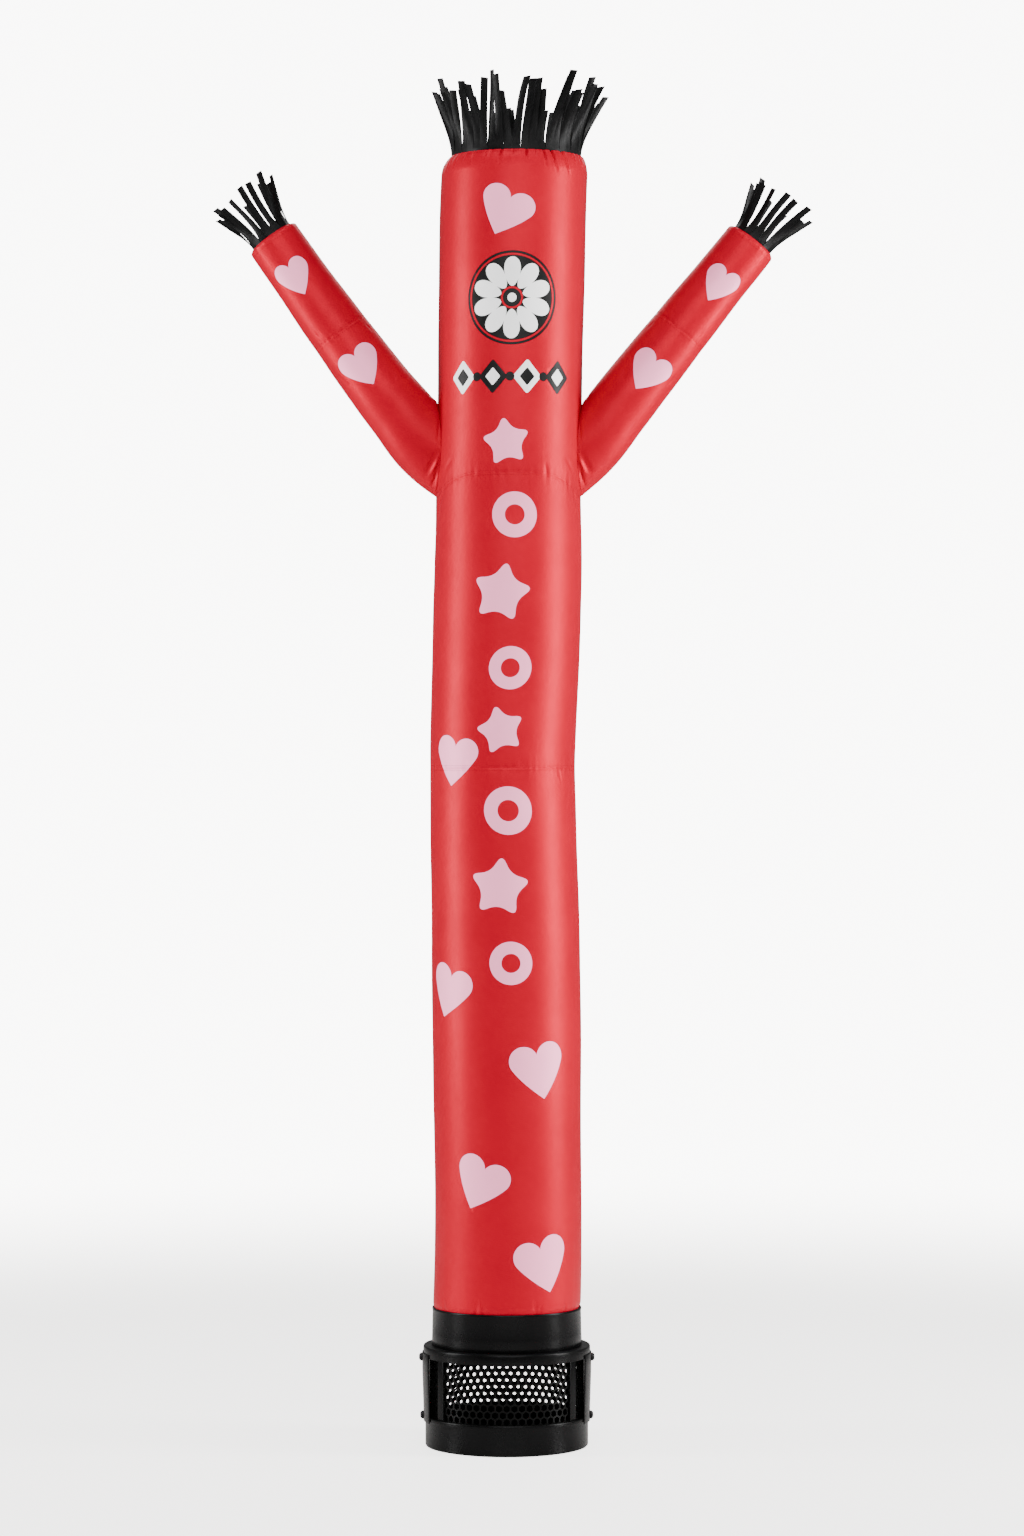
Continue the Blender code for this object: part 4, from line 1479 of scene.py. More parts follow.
# ---- arms
@dataclass
class Arm:
    """One arm: two sewn lengths and the fringe in its open end."""

    name: str
    side: int
    sections: list[ArmSection]
    hearts: tuple[tuple[float, ...], ...]
    body: TubeSurface
    wardrobe: Wardrobe
    seam: int = 5  # which section the elbow's seam is at

    ROOT_FOLDS = (
        # angle towards the armpit, place along, length, width, depth and tilt, in millimetres
        (70, 20, 38, 3, 1.6, 6), (88, 16, 34, 3.4, 2.2, -4), (108, 18, 38, 3.4, 2.4, -10),
        (128, 20, 38, 3.4, 1.8, -14), (-40, 30, 34, 3, 0.8, 24), (-95, 20, 30, 3.4, 1, 0),
    )
    CORNER_FOLDS = (
        # the folds bunched along the seam down to the armpit, in the same order
        (27, 7, 42, 1.7, -2.1, 73), (30, 12.2, 42, 3, 2.8, 74), (46, 4.6, 42, 1.8, 2.7, 83),
        (58, 1.9, 46, 1.2, -1, 87), (-22, 6, 34, 2.4, 1, 84), (152, 7, 38, 1.8, -1.7, -73),
        (149, 12.2, 40, 3, 2.2, -74), (133, 4.6, 38, 1.9, 2.2, -83),
    )
    SLEEVE_TUCKS = (
        # the same for the small tucks along the sleeve
        (20, 60, 24, 2.6, 0.6, 40), (-30, 130, 30, 3, 0.6, -20), (55, 170, 34, 3, 0.7, 15),
        (-60, 215, 26, 2.8, 0.8, 10), (10, 228, 20, 2.6, 0.7, -12), (40, 252, 22, 2.6, 0.8, 14),
        (-15, 330, 40, 3.4, 0.6, 24), (95, 140, 36, 3.4, 0.8, 0), (150, 200, 40, 3.6, 0.8, 12),
        (-120, 110, 40, 3.6, 0.8, -10),
    )

    @cached_property
    def surface(self) -> ArmSurface:
        """The arm with all of its creases."""
        made = ArmSurface(self.side, self.sections, self.body)
        elbow, end = made.stations[self.seam], made.stations[-1]
        reliefs: list[Relief] = [
            SeamPucker(elbow, 0.0005, 0.006, (13, 19, 29), 20 + self.side),
            SeamPucker(end, 0.001, 0.008, (11, 17, 27), 30 + self.side, 0.0),
            SeamPucker(0.0, 0.0005, 0.006, (15, 22, 31), 40 + self.side, 0.0),
            Crease(180, end / 2, 2 * end, 0.0035, -0.0005),
        ]
        middles = self.CORNER_FOLDS + self.SLEEVE_TUCKS
        for folds, deepest in ((self.ROOT_FOLDS, Deepest.LOWER_END), (middles, Deepest.MIDDLE)):
            for angle, *places, tilt in folds:
                sizes = (place / MM for place in places)
                reliefs.append(Crease(self.side * angle, *sizes, self.side * tilt, deepest))
        made.reliefs = tuple(reliefs)
        return made

    def hole(self) -> list[Flat]:
        """Outline of the head panel's hole, on the tube's flat cloth, just inside the arm's wall."""
        root = self.sections[0]
        inset = 3.2 * CLOTH
        outline = []
        for turn in turns(72):
            height = root.height + (root.half_width - inset) * cos(turn)
            depth = (root.half_depth - inset) * sin(turn)
            reach = sqrt(self.body.runs["radius"].at(height) ** 2 - depth**2)
            angle = atan2(self.side * reach, -depth)
            outline.append((angle * TUBE_UNROLL, self.body.along_at(angle, height)))
        clockwise = sum(a[0] * b[1] - b[0] * a[1] for a, b in zip(outline, outline[1:] + outline[:1])) < 0
        return outline[::-1] if clockwise else outline

    def build(self) -> None:
        elbow, end = self.surface.stations[self.seam], self.surface.stations[-1]
        inner = ClothPanel(
            f"sleeve_{self.name}_inner", f"arm_{self.name}_inner", self.surface,
            0.0, elbow - HALF_GAP, Stencil(ARM_UNROLL).heart(*self.hearts[0]),
            columns=150, fine_columns=300, row_pitch=0.0036, end_pitch=0.0014, end_reach=0.019,
            lap=0.006, fold_reach=0.016,
        ).build(self.wardrobe)
        outer = ClothPanel(
            f"sleeve_{self.name}_outer", f"arm_{self.name}_outer", self.surface,
            elbow + HALF_GAP, end - HALF_GAP, Stencil(ARM_UNROLL, elbow).heart(*self.hearts[1]),
            columns=96, fine_columns=170, row_pitch=0.0045, end_pitch=0.0018, end_reach=0.022,
        ).build(self.wardrobe)
        tip, up = self.sections[-1], self.surface.tip_way()
        foot = Vector((self.side * tip.out, 0, tip.height)) - up * STRIP_DEPTH
        radius = (tip.half_width - CLOTH) * cos(pi / 16) - SEAM_GAP
        Fringe(
            f"ribbons_{self.name}_hand", f"fringe_{self.name}_hand", foot, up, radius, strands=16,
            clump=2, shortest=0.064, longest=0.088, width=0.0104, spread=0.022, pull=0.34, seed=5,
            wave=0.0008,
        ).build(self.wardrobe)


# ---- geometry node trees
class ShapeTree(Group):
    """A Geometry Nodes tree under construction."""

    def __init__(self, name: str, inputs: dict[str, object]):
        """Starts the tree under its name, with a material as its last input."""
        flow = {"Geometry": "Geometry"}
        super().__init__(name, "GeometryNodeTree", {**flow, **inputs, "Material": "Material"}, flow)

    def close(self, geometry: Node) -> NodeTree:
        """Ends the tree in Realize Instances and Set Material.

        Args:
            geometry: what the tree has made.

        Returns:
            The finished tree.
        """
        real = self.node("GeometryNodeRealizeInstances", {"Geometry": geometry})
        feeds = {"Geometry": real, "Material": self.entry["Material"]}
        self.feed(self.exit, {"Geometry": self.node("GeometryNodeSetMaterial", feeds)})
        return self.tree


def grow(
    name: str, points: Sequence[Sequence[float]], tree: NodeTree, values: dict[str, object],
    edges: Sequence[tuple[int, int]] = (),
) -> Object:
    """Makes an object that a Geometry Nodes tree builds on points.

    Args:
        name: its name.
        points: the points.
        tree: the tree.
        values: the tree's inputs by name.
        edges: what joins the points.

    Returns:
        The object, with the tree as its modifier.
    """
    mesh = bpy.data.meshes.new(name)
    mesh.from_pydata(points, edges, [])
    made = add_object(name, mesh)
    modifier = made.modifiers.new(tree.name, "NODES")
    modifier.node_group = tree
    for item in tree.interface.items_tree:
        if item.item_type == "SOCKET" and item.in_out == "INPUT" and item.name in values:
            modifier[item.identifier] = values[item.name]
    return made


@dataclass
class Sewing:
    """Rows of stitches along the seams."""

    wardrobe: Wardrobe
    pitch: float = 0.004
    stitch: float = 0.0029
    thread: float = 0.00028
    aside: float = 0.0034  # distance of a row from its seam
    crown_row: float = 0.004
    root_row: float = 0.0042
    hand_row: float = 0.0105
    back_margin: float = 0.006  # the back seam's rows stop short of the level seams by this
    back_step: float = 0.008

    @cached_property
    def tree(self) -> NodeTree:
        """Sets a stitch at every pitch along the edges of a mesh."""
        sizes = {"Pitch": self.pitch, "Stitch Length": self.stitch, "Thread Radius": self.thread, "Seed": 1}
        made = ShapeTree("stitch_rows", sizes)
        curve = made.node("GeometryNodeMeshToCurve", {"Mesh": made.entry["Geometry"]})
        feeds = {"Curve": curve, "Length": made.entry["Pitch"]}
        points = made.node("GeometryNodeCurveToPoints", feeds, mode="LENGTH")
        bead = made.node("GeometryNodeMeshUVSphere", {"Segments": 6, "Rings": 4, "Radius": 1.0})
        feeds = {"Min": 0.88, "Max": 1.06, "Seed": made.entry["Seed"]}
        uneven = made.node("FunctionNodeRandomValue", feeds, data_type="FLOAT").outputs[1]
        long = made.times(made.entry["Stitch Length"], 0.5, uneven)
        thick = made.entry["Thread Radius"]
        size = made.node("ShaderNodeCombineXYZ", {"X": thick, "Y": thick, "Z": long})
        feeds = {
            "Points": points, "Instance": bead, "Rotation": points.outputs["Rotation"], "Scale": size,
        }
        return made.close(made.node("GeometryNodeInstanceOnPoints", feeds))

    def sew(self, name: str, runs: Sequence[Sequence[Vector]], closed: bool = True) -> None:
        """Sews along several runs of points.

        Args:
            name: the piece's name.
            runs: the points of each row.
            closed: whether each row runs round to its start.
        """
        points: list[Vector] = []
        edges: list[tuple[int, int]] = []
        for run in runs:
            first = len(points)
            points += run
            edges += [(first + n, first + n + 1) for n in range(len(run) - 1)]
            if closed:
                edges.append((len(points) - 1, first))
        values = {"Seed": len(points), "Material": self.wardrobe.thread}
        made = grow(name, points, self.tree, values, edges)
        complete(made, [self.wardrobe.thread], (), 60)

    def _round(self, surface: ClothSurface, along: float, steps: int = 180) -> list[Vector]:
        """A row of points round a surface at one place along it, just above the cloth."""
        whole, lift = tau * surface.unroll, 0.4 * self.thread
        return [surface.point(whole * (n / steps - 0.5), along, lift) for n in range(steps)]

    def build(self, tube: TubeSurface, arms: Sequence[Arm]) -> None:
        """Sews every seam of the dancer.

        Args:
            tube: the upright tube.
            arms: the two arms.
        """
        for name, seam in (("waist", WAIST_SEAM), ("chest", CHEST_SEAM)):
            rows = [self._round(tube, seam + side * self.aside) for side in (-1, 1)]
            self.sew(f"stitches_{name}", rows)
        self.sew("stitches_crown", [self._round(tube, HEAD_RIM - self.crown_row, 220)])
        half = pi * TUBE_UNROLL
        rows = []
        for u in (half - self.aside, self.aside - half):
            for low, high in ((0.22, WAIST_SEAM), (WAIST_SEAM, CHEST_SEAM), (CHEST_SEAM, HEAD_RIM)):
                run = high - low - 2 * self.back_margin
                count = int(run / self.back_step)
                places = [low + self.back_margin + run * n / count for n in range(count + 1)]
                rows.append([tube.point(u, v, 0.4 * self.thread) for v in places])
        self.sew("stitches_back", rows, closed=False)
        for arm in arms:
            elbow, end = arm.surface.stations[arm.seam], arm.surface.stations[-1]
            places = (self.root_row, elbow - self.aside, elbow + self.aside, end - self.hand_row)
            self.sew(f"stitches_{arm.name}_sleeve", [self._round(arm.surface, p, 96) for p in places])


# ---- fan housing
@dataclass
class FanHousing:
    """The round cage that the dancer stands on: drum, perforated grille, posts, brackets and neck."""

    wardrobe: Wardrobe
    steps: int = 128
    floor_plate: float = 0.003
    drum_radius: float = 0.1264
    drum_height: float = 0.0475
    drum_wall: float = 0.002
    bead: float = 0.0012
    bead_height: float = 0.006
    flange_radius: float = 0.1295
    flange_low: float = 0.139
    flange_top: float = 0.156
    flange_skin: float = 0.002
    neck_top: float = 0.215
    neck_foot_radius: float = 0.1165
    neck_rim_radius: float = 0.1152
    neck_wall: float = 0.0021
    grille_radius: float = 0.1195
    grille_sheet: float = 0.0015
    grille_columns: int = 63
    grille_rows: int = 14
    grille_first_row: float = 0.0108
    hole_share: float = 0.80
    back_hole_share: float = 0.43  # the holes of the half that is turned away from the front
    weld: float = 0.00002  # the cells' corners this close together become one
    post_angles: tuple[float, ...] = (56.3, 123.7, 236.3, 303.7)
    post_half_angle: float = 3.7
    post_depth: float = 0.0031
    bracket_half_angle: float = 22.5
    bracket_sheet: float = 0.0014
    bracket_heights: tuple[float, ...] = (0.039, 0.056, 0.118, 0.145)
    bracket_bend: float = 0.008
    plate_edge: float = 0.0004
    bolt_heights: tuple[float, float] = (0.0465, 0.1365)
    bolt_radius: float = 0.0064
    bolt_steps: int = 24
    socket: float = 0.002

    def _turned(self, name: str, node: str, profile: Sequence[Flat], capped: bool = False) -> None:
        """A turned piece of sheet metal.

        Args:
            name: the piece's name.
            node: the frame's node that it stands for.
            profile: its outline, as radius and height.
            capped: whether two flat discs end the outline, which otherwise closes on itself.
        """
        shape = Shape()
        rings = [shape.ring(about_axis(t, radius, z) for t in turns(self.steps)) for radius, z in profile]
        shape.bridge(rings if capped else rings + rings[:1], ends=capped)
        made = shape.close(name, turn_out=True)
        complete(made, [self.wardrobe.coat], (node,))

    def _drum(self) -> None:
        """The pan at the bottom, with a rounded foot and a rolled bead along its top edge."""
        radius, top = self.drum_radius, self.drum_height
        bore, low = radius - self.drum_wall, top - self.bead_height
        profile = [(radius - 0.0034, 0.0), (radius - 0.0014, 0.0005), (radius - 0.0004, 0.0016)]
        profile += [(radius, 0.0034), (radius, low - 0.001)]
        for step in range(1, 9):
            turn = pi * (step / 8 - 0.5)
            reach = self.bead * cos(turn) ** 0.5 if step < 8 else 0.0
            profile.append((radius + reach, (low + top) / 2 + self.bead_height / 2 * sin(turn)))
        profile += [(bore, top), (bore, self.floor_plate + 0.001), (bore - 0.001, self.floor_plate)]
        self._turned("drum_pan", "fan_drum", profile, capped=True)

    def _flange(self) -> None:
        """The ring over the grille, with a flat top and a turned-down skirt."""
        outer, low, top = self.flange_radius, self.flange_low, self.flange_top
        inner, skin = self.neck_foot_radius - 0.004, self.flange_skin
        profile = [
            (outer - skin, low), (outer - 0.0012, low), (outer - 0.0002, low + 0.0006),
            (outer, low + 0.0016), (outer, top - 0.0026), (outer - 0.0004, top - 0.0011),
            (outer - 0.0012, top - 0.0003), (outer - 0.0026, top), (inner, top), (inner, top - skin),
            (outer - skin, top - skin),
        ]
        self._turned("top_flange", "fan_flange", profile)

    def _neck(self) -> None:
        """The outlet neck, whose rolled rim stands round the cloth."""
        foot, top = self.flange_top + SEAM_GAP, self.neck_top
        wide, rim = self.neck_foot_radius, self.neck_rim_radius
        bore = rim - self.neck_wall
        profile = [
            (wide - self.neck_wall, foot), (wide - 0.0003, foot), (wide, foot + 0.0006),
            (wide - 0.0006, foot + 0.02), (rim, top - 0.005), (rim + 0.0003, top - 0.0042),
            (rim + 0.0006, top - 0.0028), (rim + 0.0005, top - 0.0014), (rim - 0.0001, top - 0.0004),
            (rim - 0.001, top), (bore + 0.0002, top - 0.0004), (bore, top - 0.0012), (bore, top - 0.03),
        ]
        self._turned("outlet_neck", "fan_neck", profile)

    def _plate(
        self, name: str, node: str, middle: float, half_angle: float,
        levels: Sequence[Sequence[float]], steps: int,
    ) -> None:
        """A plate bent round the axis, with its edges broken.

        Args:
            name: the piece's name.
            node: the frame's node that it stands for.
            middle: its middle, in degrees from the front.
            half_angle: from there to its sides, in degrees.
            levels: inner radius, outer radius and height of each level.
            steps: columns.
        """
        shape = Shape()
        columns = []
        for step in range(steps + 1):
            angle = radians(middle - half_angle + 2 * half_angle * step / steps)
            inner = [about_axis(angle, level[0], level[2]) for level in levels]
            outer = [about_axis(angle, level[1], level[2]) for level in levels]
            columns.append(shape.ring(inner + outer[::-1]))
        shape.bridge(columns, ends=True)
        made = shape.close(name, turn_out=True)
        edge = made.modifiers.new("edge", "BEVEL")
        edge.width = self.plate_edge
        edge.segments = 2
        edge.limit_method = "ANGLE"
        edge.angle_limit = radians(50)
        complete(made, [self.wardrobe.coat], (node,))

    def _posts(self) -> None:
        """The four uprights beside the windows, in pairs with a dark slot between the pairs."""
        inner = self.grille_radius + SEAM_GAP
        low, high = self.floor_plate + SEAM_GAP, self.flange_top - self.flange_skin - SEAM_GAP
        levels = [(inner, inner + self.post_depth, z) for z in (low, high)]
        for number, angle in enumerate(self.post_angles, 1):
            names = f"cage_post_{number}", f"fan_post_{number}"
            self._plate(*names, angle, self.post_half_angle, levels, 6)

    def _seats(self) -> Flat:
        """The radii at which the brackets lie on the drum and on the flange."""
        return (self.drum_radius + self.bead + SEAM_GAP, self.flange_radius + SEAM_GAP)

    def _brackets(self) -> None:
        """The joggled plate on each side, rounded at its bends."""
        low, high = self._seats()
        corners = list(zip((low, low, high, high), self.bracket_heights))
        line = rounded(corners, self.bracket_bend, 5, closed=False)
        levels = [(radius, radius + self.bracket_sheet, z) for radius, z in line]
        for name, middle in (("right", 90.0), ("left", 270.0)):
            names = f"side_bracket_{name}", f"fan_bracket_{name}"
            self._plate(*names, middle, self.bracket_half_angle, levels, 20)

    def _bolt_tree(self) -> NodeTree:
        """Sets a bolt head on every point, aimed straight out to the side."""
        made = ShapeTree("bolt_heads", {"Head": "Object", "Size": 1.0})
        head = made.node("GeometryNodeObjectInfo", {"Object": made.entry["Head"]})
        place = made.node("GeometryNodeInputPosition")
        aim = made.node("ShaderNodeVectorMath", {0: place, 1: (1, 0, 0)}, operation="MULTIPLY")
        turn = made.node("FunctionNodeAlignRotationToVector", {"Vector": aim}, axis="Z")
        feeds = {
            "Points": made.entry["Geometry"], "Instance": head.outputs["Geometry"],
            "Rotation": turn, "Scale": made.entry["Size"],
        }
        return made.close(made.node("GeometryNodeInstanceOnPoints", feeds))

    def _bolt_head(self) -> Object:
        """One low domed head with a six-sided socket, lying on z = 0."""
        radius = self.bolt_radius
        profile = [
            (radius, 0.00003), (radius, 0.0019), (radius - 0.0003, 0.0024), (0.0056, 0.0033),
            (0.0046, 0.0042), (0.0034, 0.0048), (0.0027, 0.005), (self.socket, 0.0049), (self.socket, 0.003),
        ]
        shape, rings = Shape(), []
        for reach, z in profile:
            ring = []
            for t in turns(self.bolt_steps):
                corner = reach if reach > self.socket else reach / cos(t % (pi / 3) - pi / 6)
                ring.append((corner * cos(t), corner * sin(t), z))
            rings.append(shape.ring(ring))
        shape.bridge(rings, ends=True)
        return shape.close("bolt_head")

    def _bolts(self) -> None:
        """The four bolt heads on the brackets."""
        places, nodes = [], []
        for name, side in (("right", 1), ("left", -1)):
            for level, height, seat in zip(("low", "high"), self.bolt_heights, self._seats()):
                places.append((side * (seat + self.bracket_sheet), 0.0, height))
                nodes.append(f"fan_bolt_{name}_{level}")
        head, metal = self._bolt_head(), self.wardrobe.bolt_metal
        made = grow("bracket_bolts", places, self._bolt_tree(), {"Head": head, "Material": metal})
        complete(made, [metal], nodes, 30)
        bpy.data.objects.remove(head)

    def _grille_tree(self, sizes: dict[str, object]) -> NodeTree:
        """Sets a six-sided cell with a hole on each point and wraps the sheet round the axis.

        Args:
            sizes: the tree's inputs.

        Returns:
            The tree.
        """
        made = ShapeTree("perforated_sheet", sizes)
        radius, share = made.entry["Radius"], made.entry["Hole Share"]
        feeds = {"Vertices": 6, "Radius": made.entry["Cell Radius"]}
        cell = made.node("GeometryNodeMeshCircle", feeds, fill_type="NGON")
        feeds = {"Geometry": cell, "Rotation": (0, 0, radians(30))}
        upright = made.node("GeometryNodeTransform", feeds)
        feeds = {"Points": made.entry["Geometry"], "Instance": upright}
        cells = made.node("GeometryNodeInstanceOnPoints", feeds)
        flat = made.node("GeometryNodeRealizeInstances", {"Geometry": cells})
        feeds = {"Mesh": flat, "Offset Scale": 0.0, "Individual": True}
        lifted = made.node("GeometryNodeExtrudeMesh", feeds, mode="FACES")
        place = made.node("GeometryNodeInputPosition")
        spot = made.node("ShaderNodeSeparateXYZ", {"Vector": place}).outputs
        angle = made.math("DIVIDE", spot["X"], radius)
        cosine = made.math("COSINE", angle)
        change = made.math("SUBTRACT", made.entry["Back Hole Share"], share)
        hole = made.math("MULTIPLY_ADD", made.math("LESS_THAN", cosine, 0.0), change, share)
        feeds = {"Geometry": lifted, "Selection": lifted.outputs["Top"], "Scale": hole}
        shrunk = made.node("GeometryNodeScaleElements", feeds)
        feeds = {"Geometry": shrunk, "Selection": lifted.outputs["Top"]}
        opened = made.node("GeometryNodeDeleteGeometry", feeds, domain="FACE")
        right = made.times(made.math("SINE", angle), radius)
        back = made.times(cosine, radius, -1.0)
        bent = made.node("ShaderNodeCombineXYZ", {"X": right, "Y": back, "Z": spot["Y"]})
        wrapped = made.node("GeometryNodeSetPosition", {"Geometry": opened, "Position": bent})
        feeds = {"Geometry": wrapped, "Distance": self.weld}
        return made.close(made.node("GeometryNodeMergeByDistance", feeds))

    def _grille(self) -> None:
        """The perforated sheet all round the cage."""
        pitch = tau * self.grille_radius / self.grille_columns
        corner = pitch / sqrt(3)
        places = []
        for row in range(self.grille_rows):
            height = 1.5 * corner * row + self.grille_first_row
            places += [((n + row % 2 / 2) * pitch, height, 0) for n in range(self.grille_columns)]
        sizes = {
            "Radius": self.grille_radius, "Cell Radius": corner, "Hole Share": self.hole_share,
            "Back Hole Share": self.back_hole_share,
        }
        coat = self.wardrobe.mesh_coat
        made = grow("perforated_grille", places, self._grille_tree(sizes), {**sizes, "Material": coat})
        thicken(made, self.grille_sheet)
        complete(made, [coat], ("fan_grille",), 30)

    def build(self) -> None:
        """Builds every piece of the housing."""
        self._drum()
        self._grille()
        self._posts()
        self._flange()
        self._neck()
        self._brackets()
        self._bolts()


# ---- floor, light and camera
@dataclass
class Studio:
    """A pale floor that runs out into a pale surround, soft lights and the camera."""

    floor_radius: float = 4.6
    floor_drop: float = 0.0002
    floor_colour: Colour = (0.82, 0.805, 0.79)
    floor_roughness: float = 0.28
    plain_from: float = 1.6  # beyond this distance the floor starts to turn into the surround
    backdrop: Colour = (0.995, 0.982, 0.968)
    backdrop_glow: float = 9.5
    ambient: float = 0.28
    ambient_front: float = 0.08
    floor_glow: float = 2.6
    camera: tuple[float, float, float] = (0.0081, -6.52, 1.05)
    lens: float = 98.44

    LIGHTS = (
        # name, place, height that it is aimed at on the axis, width and height, watts
        ("strip_right", about_axis(radians(80), 2.4, 1.35), 1.35, (0.7, 2.10), 146),
        ("strip_left", about_axis(radians(-82), 2.4, 1.35), 1.35, (0.7, 2.10), 102),
        ("front_fill", (0.3, -5.4, 3.2), 1.0, (4.5, 3.0), 300),
        ("top_soft", (0.0, -1.2, 4.4), 1.0, (2.6, 1.4), 70),
        ("back_fill", (0.0, 4.0, 4.2), 1.0, (5.0, 2.5), 110),
    )

    def _spread(self, tree: Wiring, value: Socket, run: Flat, ends: Flat) -> Node:
        """A value that goes smoothly between two ends while another one goes through a run."""
        feeds = {"Value": value, "From Min": run[0], "From Max": run[1], "To Min": ends[0], "To Max": ends[1]}
        return tree.node("ShaderNodeMapRange", feeds, interpolation_type="SMOOTHSTEP")

    def _floor_paint(self) -> Material:
        """Pale satin paint that fades into the surround's own colour far out."""
        paint = Shading("pale_floor", self.floor_colour, Roughness=self.floor_roughness)
        seen = paint.node("ShaderNodeLightPath").outputs["Is Camera Ray"]
        backdrop = (*self.backdrop, 1)
        glow = paint.times(seen, self.floor_glow)
        paint.feed(paint.shader, {"Emission Color": backdrop, "Emission Strength": glow})
        reach = paint.node("ShaderNodeVectorMath", {0: paint.place()}, operation="LENGTH").outputs["Value"]
        fade = self._spread(paint, reach, (self.plain_from, 0.97 * self.floor_radius), (0.0, 1.0))
        strength = paint.math("MULTIPLY_ADD", seen, self.backdrop_glow - self.ambient, self.ambient)
        plain = paint.node("ShaderNodeEmission", {"Color": backdrop, "Strength": strength})
        blend = paint.node("ShaderNodeMixShader", {0: fade, 1: paint.shader, 2: plain})
        paint.feed(paint.tree.nodes["Material Output"], {"Surface": blend})
        return paint.material

    def _floor(self) -> None:
        """The pale floor under the dancer."""
        shape = Shape()
        bmesh.ops.create_circle(shape.mesh, cap_ends=True, radius=self.floor_radius, segments=128)
        bmesh.ops.translate(shape.mesh, verts=shape.mesh.verts, vec=-self.floor_drop * UP)
        made = shape.close("studio_floor")
        made.data.materials.append(self._floor_paint())

    def _surround(self) -> None:
        """A surround that is bright to the eye, and as a light dim in front and brighter elsewhere."""
        world = bpy.data.worlds.new("studio_surround")
        bpy.context.scene.world = world
        world.use_nodes = True
        tree = Wiring(world.node_tree)
        place = tree.node("ShaderNodeTexCoord").outputs["Generated"]
        depth = tree.node("ShaderNodeSeparateXYZ", {0: place}).outputs["Y"]
        dim = self._spread(tree, depth, (-0.95, -0.20), (self.ambient_front, self.ambient))
        seen = tree.node("ShaderNodeLightPath").outputs["Is Camera Ray"]
        light = tree.times(dim, tree.math("SUBTRACT", 1.0, seen))
        strength = tree.math("MULTIPLY_ADD", seen, self.backdrop_glow, light)
        feeds = {"Color": (*self.backdrop, 1), "Strength": strength}
        tree.feed(world.node_tree.nodes["Background"], feeds)

    def _lights(self) -> None:
        """Two tall soft boxes at the sides and wide weak ones in front, above and behind."""
        for name, place, aim, size, power in self.LIGHTS:
            lamp = bpy.data.lights.new(name, "AREA")
            lamp.shape = "RECTANGLE"
            lamp.size, lamp.size_y = size
            lamp.energy = power
            made = add_object(name, lamp)
            made.location = place
            made.rotation_mode = "QUATERNION"
            made.rotation_quaternion = (aim * UP - Vector(place)).to_track_quat("-Z", "Y")
            made.visible_camera = False

    def _camera(self) -> None:
        """The camera at the picture's viewpoint."""
        lens = bpy.data.cameras.new("view")
        lens.lens = self.lens
        lens.sensor_width = 36.0
        made = add_object("view", lens)
        made.location = self.camera
        made.rotation_euler = (radians(90), 0, 0)
        bpy.context.scene.camera = made

    def build(self) -> None:
        """Builds the whole studio."""
        self._floor()
        self._surround()
        self._lights()
        self._camera()


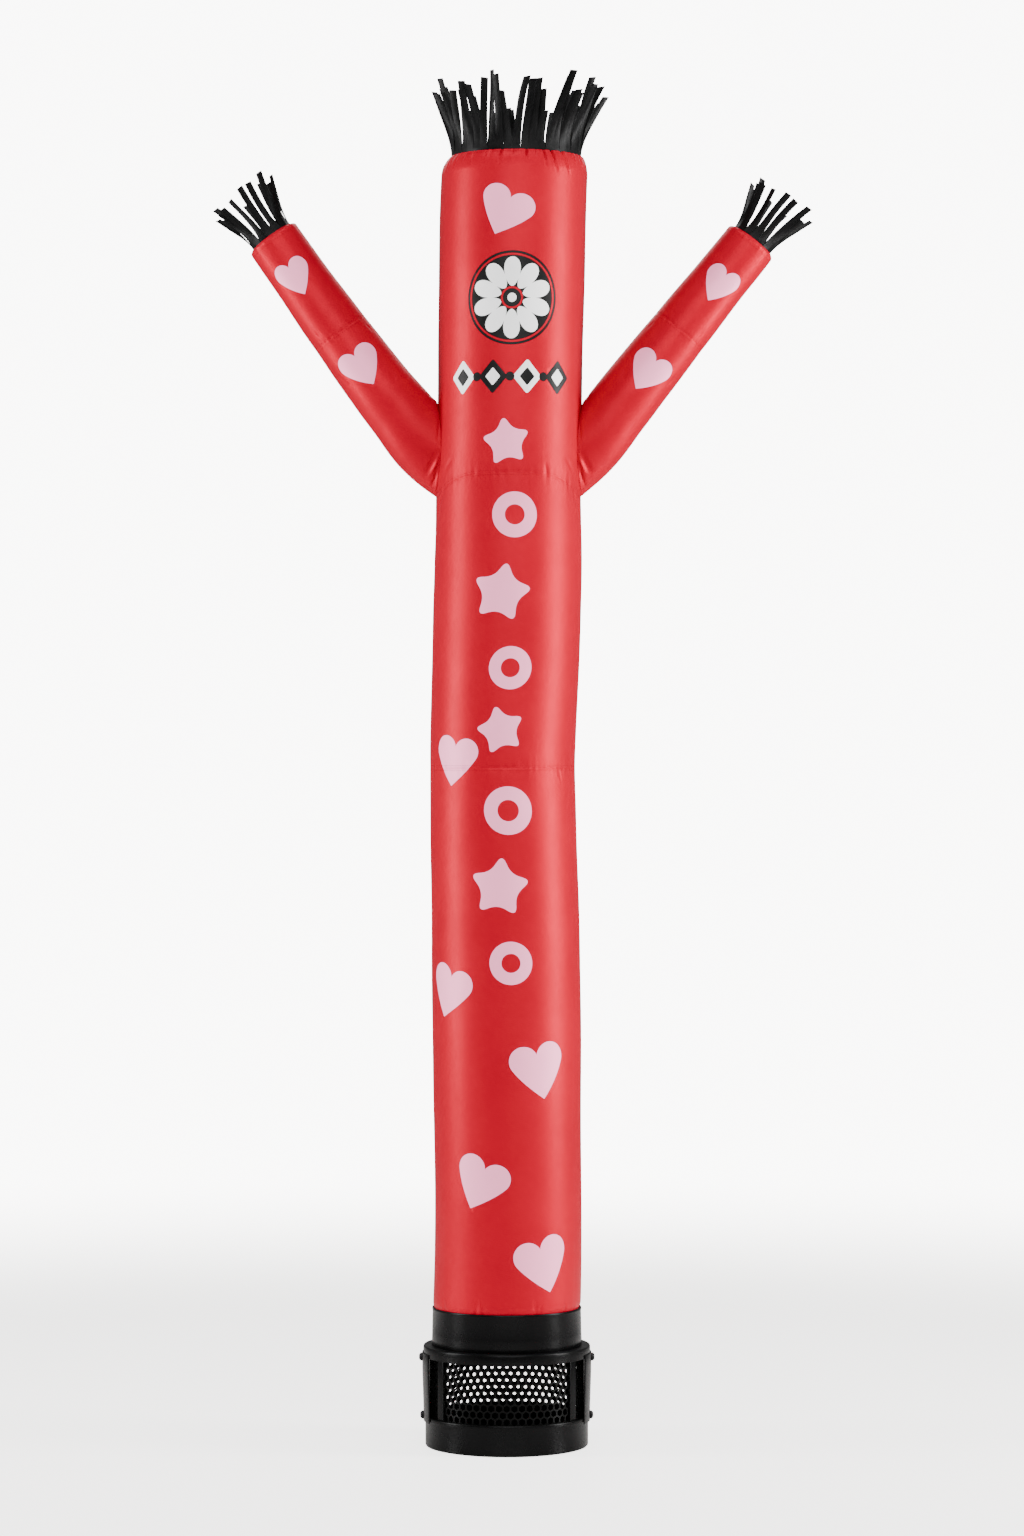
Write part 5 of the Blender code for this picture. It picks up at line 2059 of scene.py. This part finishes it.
# ---- the whole dancer
# place outwards, height, half width, half depth and lean of each arm's sections
RIGHT_ARM = (
    (0.1165, 1.5424, 0.0716, 0.04, 0.0), (0.1461, 1.5724, 0.0583, 0.0455, 20.8),
    (0.1729, 1.6076, 0.0503, 0.0475, 44.0), (0.1948, 1.6359, 0.0493, 0.0489, 51.4),
    (0.239, 1.6918, 0.0475, 0.0473, 51.4), (0.2667, 1.7265, 0.0459, 0.0457, 51.4),
    (0.2837, 1.7478, 0.0454, 0.0452, 51.4), (0.328, 1.8031, 0.0431, 0.0429, 52.0),
    (0.3769, 1.8635, 0.0419, 0.0417, 52.4), (0.3794, 1.8668, 0.0396, 0.0394, 52.4),
    (0.3806, 1.8683, 0.0366, 0.0364, 52.4),
)
LEFT_ARM = (
    (0.1085, 1.5427, 0.0726, 0.04, 0.0), (0.1412, 1.5715, 0.0608, 0.046, 22.6),
    (0.1685, 1.6062, 0.0523, 0.0482, 44.0), (0.1903, 1.6333, 0.0504, 0.0502, 52.5),
    (0.2329, 1.6898, 0.0481, 0.0479, 53.5), (0.2571, 1.7229, 0.0465, 0.0463, 53.8),
    (0.2749, 1.747, 0.0459, 0.0457, 54.0), (0.3165, 1.8054, 0.0434, 0.0432, 54.5),
    (0.3611, 1.8688, 0.0423, 0.0421, 54.5), (0.3634, 1.8721, 0.0399, 0.0397, 54.5),
    (0.3644, 1.8736, 0.0368, 0.0366, 54.5),
)
# angle, place along the panel, width, height and tilt of the tip of each arm's two hearts
RIGHT_HEARTS = ((3.4, 0.1554, 0.066, 0.064, 2.0), (6.1, 0.0913, 0.062, 0.059, 3.5))
LEFT_HEARTS = ((-6.2, 0.1698, 0.066, 0.064, -2.0), (-10.7, 0.1077, 0.062, 0.059, -3.5))


def main() -> None:
    """Builds the dressed dancer and its studio in order."""
    logging.basicConfig(level=logging.INFO, format="%(name)s %(message)s")
    wardrobe = Wardrobe()
    FanHousing(wardrobe).build()
    tube = ClothTube(wardrobe)
    arms = []
    for name, side, rows, hearts in (
        ("right", 1, RIGHT_ARM, RIGHT_HEARTS), ("left", -1, LEFT_ARM, LEFT_HEARTS)
    ):
        sections = [ArmSection(*row) for row in rows]
        arms.append(Arm(name, side, sections, hearts, tube.surface, wardrobe))
    tube.build([arm.hole() for arm in arms])
    for arm in arms:
        arm.build()
    Fringe(
        "ribbons_head", "fringe_head", Vector((HEAD_SWAY, 0, CROWN_SEAM - STRIP_DEPTH)), UP,
        CROWN_RADIUS + SEAM_GAP + STRIP_SHEET, strands=48, clump=4, shortest=0.082, longest=0.118,
        width=0.0116, spread=0.032, pull=0.62, seed=11, blown=0.005,
    ).build(wardrobe)
    Sewing(wardrobe).build(tube.surface, arms)
    Studio().build()


if __name__ == "__main__":
    main()
